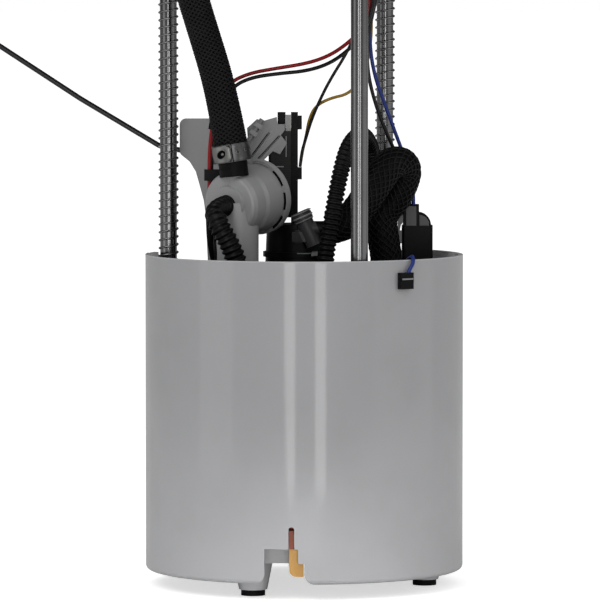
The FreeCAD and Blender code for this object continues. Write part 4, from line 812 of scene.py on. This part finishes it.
lowerClamp = {
    "centre": (-33.81, -29.5, 204.6), "axis": (-0.15643, 0.0, 0.98769), "inner": 7.95, "width": 8.4,
    "sheet": 0.7, "lap": (-74, 0), "plate": (-62, -2), "gap": (0.3, 3.4), "window": -28,
    "rivet": (-24, 0.1), "dimples": ((20, 0.0), (49, 0.6), (76, 0.4)), "oval": 1.33,
}
upperClamp = dict(lowerClamp, centre=(-57.0, -31.0, 314.5), axis=(0.0, 0.0, 1.0))


def bandShell(inner, sheet, width, fromAngle, toAngle, endRound, lip=0.35):
    # A strip of sheet bent round Z, from one angle to another, with rounded ends and rolled edges.
    sweep = abs(toAngle - fromAngle)
    steps = max(8, int(sweep / 4))
    rows = [-1.0, -0.93, -0.8, -0.4, 0.0, 0.4, 0.8, 0.93, 1.0]
    closed = sweep >= 360
    columns = steps if closed else steps + 1
    vertices = []
    for side in (0, 1):
        for i in range(columns):
            angle = math.radians(fromAngle + (toAngle - fromAngle) * i / steps)
            edge = 1.0
            if not closed:
                nearEnd = min(i, steps - i) * math.radians(sweep) / steps * inner
                if nearEnd < endRound:
                    edge = 0.45 + 0.55 * math.sqrt(max(0.0, 1 - (1 - nearEnd / endRound) ** 2))
            for row in rows:
                r = inner + side * sheet + lip * abs(row) ** 8
                z = row * width / 2 * edge
                vertices.append(Vector((r * math.sin(angle), -r * math.cos(angle), z)) * mm)
    faces = []
    count = len(rows)
    layer = columns * count
    for i in range(columns if closed else columns - 1):
        here, there = i * count, (i + 1) % columns * count
        for j in range(count - 1):
            a, b, c, d = here + j, there + j, there + j + 1, here + j + 1
            faces.append((d, c, b, a))
            faces.append((layer + a, layer + b, layer + c, layer + d))
        faces.append((here, there, layer + there, layer + here))
        a, b = here + count - 1, there + count - 1
        faces.append((b, a, layer + a, layer + b))
    if not closed:
        for here, flip in ((0, False), ((columns - 1) * count, True)):
            for a in range(here, here + count - 1):
                quad = (a, layer + a, layer + a + 1, a + 1)
                faces.append(tuple(reversed(quad)) if flip else quad)
    return vertices, faces


def onBand(radius, angle, height, shape, stretch=1.0):
    # Places a small turned shape on the band, facing outwards, and stretches it round the band.
    a = math.radians(angle)
    out = Vector((math.sin(a), -math.cos(a), 0))
    matrix = aimedMatrix(out * radius + Vector((0, 0, height)), out)
    vertices, faces = shape
    return [matrix @ Vector((v.x * stretch, v.y, v.z)) for v in vertices], faces


def makeClamp(name, node, body, centre, axis, inner, width, sheet, lap, plate, gap, window, rivet,
              dimples, oval):
    # A band under a second strip and a tooth plate, with a riveted oval window and pierced dimples. The
    # black pieces in the slit between the strips, in the window and in the dimples are painted shade.
    matrix = aimedMatrix(centre, axis)
    second = inner + sheet + 0.05
    third = second + sheet + 0.05
    face = third + sheet * 0.8
    windowRim = lathe([(1.8, 0), (2.15, 0.05), (2.15, 0.2), (1.95, 0.3), (1.8, 0.2)], 28)
    windowShade = lathe([(1.8, 0.1), (1.8, 0.26)], 28)
    rivetHead = lathe([(0.8, 0.2), (0.75, 0.6), (0.5, 0.85), (0.15, 0.95)], 16)
    dimple = lathe([(0.85, 0), (0.8, 0.22), (0.55, 0.34), (0.45, 0.3)], 18)
    pit = lathe([(0.45, 0.1), (0.45, 0.36)], 14)
    shapes = [
        (bandShell(inner, sheet, width, -180, 180, 0), bandSteel),
        (bandShell(second, sheet, width * 0.96, *lap, 0.5), bandSteel),
        (bandShell(third, sheet * 0.8, width * 0.9, *plate, 2.4, 0.1), plateSteel),
        # Painted shade: a black strip in the slit under the second strip.
        (bandShell(second - 0.03, 0.15, width * 0.98, *gap, 0), shadowBlack),
        (onBand(face, window, 0.0, windowRim, oval), plateSteel),
        # Painted shade: a black floor inside the window.
        (onBand(face, window, 0.0, windowShade, oval), shadowBlack),
        (onBand(face, *rivet, rivetHead), plateSteel),
    ]
    for angle, height in dimples:
        shapes.append((onBand(inner + sheet, angle, height, dimple), plateSteel))
        # Painted shade: a black disc inside each dimple.
        shapes.append((onBand(inner + sheet, angle, height, pit), shadowBlack))
    clamp = joined(name, [turnedPiece(f"{name}_{i}", matrix, shape, steel)
                          for i, (shape, steel) in enumerate(shapes)])
    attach(clamp, body)
    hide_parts(node)


makeClamp("lower_hose_clamp", "hose_clamp_lower", "reservoir", **lowerClamp)
makeClamp("upper_hose_clamp", "hose_clamp_upper", "flange", **upperClamp)
print("clamps made")


# Small mouldings on the front.

ringLook = {
    "top": (-1.857, -13.9, 176.365), "axis": (0.40674, 0.0, -0.91355), "collar": 4.3, "root": 0.3,
    "edge": 0.18, "ribs": ((0.25, 0.85, 0.75), (2.15, 3.0, 0.75), (4.1, 4.7, 0.35)),
}


def makeFittingRings(top, axis, collar, root, edge, ribs):
    # The grip rings on the grey fitting, each with its lower and upper height and its reach.
    matrix = aimedMatrix(top, axis)
    pieces = []
    for i, (low, high, over) in enumerate(ribs):
        reach = collar + over
        profile = [(collar - root, low), (reach - edge, low), (reach, low + edge), (reach, high - edge),
                   (reach - edge, high), (collar - root, high)]
        pieces.append(turnedPiece(f"ring_{i}", matrix, lathe(profile, 40), latchGrey))
    rings = joined("fitting_rings", pieces)
    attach(rings, "reservoir")


makeFittingRings(**ringLook)

coverLook = {
    "centre": (-22.688, -11.836, 183.127), "axis": (-0.56, -0.81787, -0.13226), "inner": 15.85,
    "sheet": 1.4, "width": 0.3, "half": 14, "slots": 9, "first": 10, "dark": 3,
}


def makeCoverShadows(centre, axis, inner, sheet, width, half, slots, first, dark):
    # Floors just inside the slots of the bell's cover ring: black ones on its right as painted shade, the
    # rest in plain plastic.
    matrix = aimedMatrix(centre, axis)
    pieces = []
    for i in range(slots):
        angle = first + 360 / slots * i
        shape = bandShell(inner, sheet, width, angle - half, angle + half, 0, 0.0)
        material = shadowBlack if i < dark else whiteMoulding
        pieces.append(turnedPiece(f"shadow_{i}", matrix, shape, material))
    shadows = joined("cover_shadows", pieces)
    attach(shadows, "reservoir")


makeCoverShadows(**coverLook)


def roundedBar(name, corners, depth, material, edge=0.12):
    # A strip with softened edges, from corners in X and Z and a front and back in Y, in millimetres.
    front, back = depth
    body = bmesh.new()
    near = [body.verts.new(Vector((x, front, z)) * mm) for x, z in corners]
    far = [body.verts.new(Vector((x, back, z)) * mm) for x, z in corners]
    body.faces.new(near)
    body.faces.new(list(reversed(far)))
    for i in range(len(corners)):
        j = (i + 1) % len(corners)
        body.faces.new((near[j], near[i], far[i], far[j]))
    bmesh.ops.recalc_face_normals(body, faces=body.faces)
    edges = list(body.edges)
    bmesh.ops.bevel(body, geom=edges, offset=edge * mm, segments=2, profile=0.5, affect="EDGES")
    return keptMesh(name, body, material)


clipLook = {"angle": -52.2, "radius": 77.6, "half": 3.2, "heights": (146.9, 147.6), "depth": (-0.45, 0.3)}


def makeClipRib(angle, radius, half, heights, depth):
    # The pressed rib across the front of the wire clip.
    low, high = heights
    corners = [(-half, low), (half, low), (half, high), (-half, high)]
    piece = roundedBar("clip_rib", corners, depth, latchGrey)
    a = math.radians(angle)
    turn = Matrix.Rotation(a + math.pi / 2, 4, "Z")
    place = Matrix.Translation(Vector((radius * math.cos(a), radius * math.sin(a), 0)) * mm)
    piece.data.transform(place @ turn)
    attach(piece, "reservoir")


makeClipRib(**clipLook)


def slantedBar(name, start, end, width, depth, material):
    # A thin bar between two places in X and Z.
    first, last = Vector(start), Vector(end)
    along = (last - first).normalized()
    aside = Vector((along.y, -along.x)) * (width / 2)
    corners = [first - aside, first + aside, last + aside, last - aside]
    return roundedBar(name, corners, depth, material, edge=0.04)


grooveLook = {
    "lines": (((-23.4, 199.2), (-12.6, 210.9)), ((-24.9, 202.3), (-17.6, 212.2))), "width": 0.8,
    "depth": (17.2, 18.4),
}


def makeGrooveShades(lines, width, depth):
    # Painted shade: black bars on the floors of the two grooves across the arm's holder.
    grooves = joined("holder_grooves", [slantedBar(f"groove_{i}", *line, width, depth, shadowBlack)
                                        for i, line in enumerate(lines)])
    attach(grooves, "float_arm")


makeGrooveShades(**grooveLook)

contactLook = {
    "lines": (((-8.6, 201.0), (-8.6, 210.8)), ((-15.8, 196.3), (-9.7, 196.3))), "width": 0.5,
    "depth": (21.4, 21.6),
}


def makeContacts(lines, width, depth):
    # The two bare contact strips on the glazed card.
    contacts = joined("card_contacts", [slantedBar(f"strip_{i}", *line, width, depth, whiteLine)
                                        for i, line in enumerate(lines)])
    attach(contacts, "reservoir")


makeContacts(**contactLook)


def roundLine(name, centre, reach, height, turn, steps, edge, material):
    # A thin rod along part of a level circle. Its turn is counted from +X.
    spots = []
    for i in range(steps + 1):
        angle = math.radians(turn[0] + (turn[1] - turn[0]) * i / steps)
        spots.append((centre[0] + reach * math.cos(angle), centre[1] + reach * math.sin(angle), height))
    return wire(name, spots, edge, material)


tieLine = {
    "centre": (-2.7, 6.0), "reach": 16.95, "height": 156.5, "turn": (-92.5, -70.0), "steps": 8,
    "edge": 0.24,
}
lockLook = {
    "corners": [(3.2, 155.2), (6.2, 155.4), (6.3, 157.6), (3.4, 157.4)], "depth": (-10.7, -8.9),
    "edge": 0.3,
}


def makeTieLock(corners, depth, edge):
    # The raised edge and the lock of the strap round the turret.
    line = roundLine("tie_edge", material=whiteLine, **tieLine)
    lock = roundedBar("tie_lock", corners, depth, whiteLine, edge)
    strap = joined("tie_trim", [line, lock])
    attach(strap, "reservoir")


makeTieLock(**lockLook)

# The rounded moulded edge along the front of the pot's rim, paler than the pot as a painted highlight.
beadLook = {
    "centre": (0, 0), "reach": 74.75, "height": 155.62, "turn": (172, 352), "steps": 60, "edge": 0.36,
}
bead = roundLine("rim_bead", material=rimHighlightWhite, **beadLook)
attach(bead, "reservoir")

# The woven sock of the strainer.

sockLook = {
    "rings": 16, "segments": 72, "seam": 0.9, "quilts": 9, "swell": 0.9, "pinch": 0.12, "thin": 0.07,
    "neckOffset": 8.0, "neck": 5.6, "collar": 7.9, "wall": 1.6, "sunk": 0.8,
}


def makeStrainer(rings, segments, seam, quilts, swell, pinch, thin, neckOffset, neck, collar, wall, sunk):
    # Two quilted sheets of cloth, sewn together round a flat seam, under a stiff neck.
    low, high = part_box("strainer_sock")
    top = high.z - collar * mm
    centre = (low + high) / 2
    outer = (high.x - low.x) / 2 - 0.0001
    middle = (low.z + top) / 2
    half = (top - low.z) / 2
    body = bmesh.new()
    layers = []
    for side in (1, -1):
        hub = body.verts.new((centre.x, centre.y, middle + side * half * swell))
        rows = []
        for j in range(1, rings + 1):
            share = j / rings
            crown = math.sqrt(max(0.0, 1 - (share / seam) ** 2)) ** 0.7 if share < seam else 0.0
            row = []
            for i in range(segments):
                angle = fullTurn * i / segments
                quilt = 1 - pinch * (0.5 + 0.5 * math.cos(quilts * angle)) * math.sin(math.pi * share)
                x = centre.x + outer * share * math.cos(angle)
                y = centre.y + outer * share * math.sin(angle)
                height = half * max(swell * crown * quilt, thin)
                row.append(body.verts.new((x, y, middle + side * height)))
            rows.append(row)
        for i in range(segments):
            k = (i + 1) % segments
            body.faces.new((hub, rows[0][i], rows[0][k]))
            for a, b in zip(rows, rows[1:]):
                body.faces.new((a[i], b[i], b[k], a[k]))
        layers.append(rows[-1])
    for i in range(segments):
        k = (i + 1) % segments
        body.faces.new((layers[0][i], layers[1][i], layers[1][k], layers[0][k]))
    bmesh.ops.recalc_face_normals(body, faces=body.faces)
    cloth = keptMesh("strainer_cloth", body, finishes["filter_media"], True)
    base = Vector((centre.x + neckOffset * mm, centre.y, top - sunk * mm))
    inside, tip = neck - wall, collar + 0.6
    profile = [(inside, 0), (neck, 0), (neck, collar + 0.3), (neck - 0.3, tip), (inside, tip)]
    ring = turnedPiece("strainer_collar", Matrix.Translation(base), lathe(profile, 40),
                       finishes["black_plastic"])
    sock = joined("woven_strainer", [cloth, ring])
    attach(sock, "reservoir")
    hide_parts("strainer_sock")


makeStrainer(**sockLook)
print("small pieces made")

# Surroundings.

floorLook = {"half": 60.0, "drop": 0.0002, "glow": 0.6, "paper": 0.82}


def floorFinish(glow, paper):
    # Matt paper that adds a little white of its own for the camera.
    m = Finish("floor_paper")
    seen, _ = m.rays()
    white = m.add("ShaderNodeEmission", {}, {"Color": rgb(1, 1, 1), "Strength": seen * glow})
    matt = m.add("ShaderNodeBsdfDiffuse", {}, {"Color": rgb(paper, paper, paper)})
    both = m.add("ShaderNodeAddShader", {}, [white, matt])
    m.feed(m.tree.nodes["Material Output"].inputs["Surface"], both)
    return m.material


def makeFloor(half, drop, glow, paper):
    corners = [(-half, -half, 0), (half, -half, 0), (half, half, 0), (-half, half, 0)]
    floor = meshPiece("floor", corners, [(0, 1, 2, 3)], floorFinish(glow, paper), False)
    floor.location.z = -drop


makeFloor(**floorLook)

worldLook = {"ambient": 0.62, "mirrored": 0.16}


def makeWorld(ambient, mirrored):
    world = bpy.data.worlds.new("studio")
    world.use_nodes = True
    scene.world = world
    b = Board(world.node_tree)
    seen, glossy = b.rays()
    strength = seen * (1 - ambient) + glossy * (mirrored - ambient) + ambient
    background = world.node_tree.nodes["Background"]
    background.inputs["Color"].default_value = rgb(1, 1, 1)
    b.feed(background.inputs["Strength"], strength)


makeWorld(**worldLook)

# Each lamp: place, target, size, power and spread. The strips only mirror in what is glossy.
lamps = {
    "keyPanel": ((-0.9, -1.0, 1.5), (0, 0, 0.15), (1.0, 1.0), 9.0, 180),
    "fillPanel": ((1.3, -0.9, 0.9), (0, 0, 0.15), (0.9, 0.9), 4.0, 180),
    "leftStrip": ((-0.090, -0.53, 0.205), (0, 0, 0.205), (0.068, 0.40), 0.4, 180),
    "rightStrip": ((0.101, -0.53, 0.205), (0, 0, 0.205), (0.068, 0.40), 0.4, 180),
    "leftSheenStrip": ((-0.63, -0.31, 0.22), (0, 0, 0.22), (0.34, 0.5), 0.40, 180),
    "rightSheenStrip": ((0.68, -0.18, 0.22), (0, 0, 0.22), (0.7, 0.5), 0.42, 180),
    "lowPanel": ((0, -0.34, 0.012), (0, -0.075, -0.012), (0.5, 0.02), 0.115, 45),
}


def makeLamp(name, place, target, size, power, spread):
    data = bpy.data.lights.new(name, "AREA")
    data.shape = "RECTANGLE"
    data.size, data.size_y = size
    data.energy = power
    data.spread = math.radians(spread)
    lamp = aimedObject(name, data, place, target)
    lamp.visible_camera = False
    lamp.visible_diffuse = not name.endswith("Strip")
    lamp.visible_glossy = name != "lowPanel"


for lampName, lampValues in lamps.items():
    makeLamp(lampName, *lampValues)

scene.view_settings.view_transform = "Standard"
print("lights and camera made")
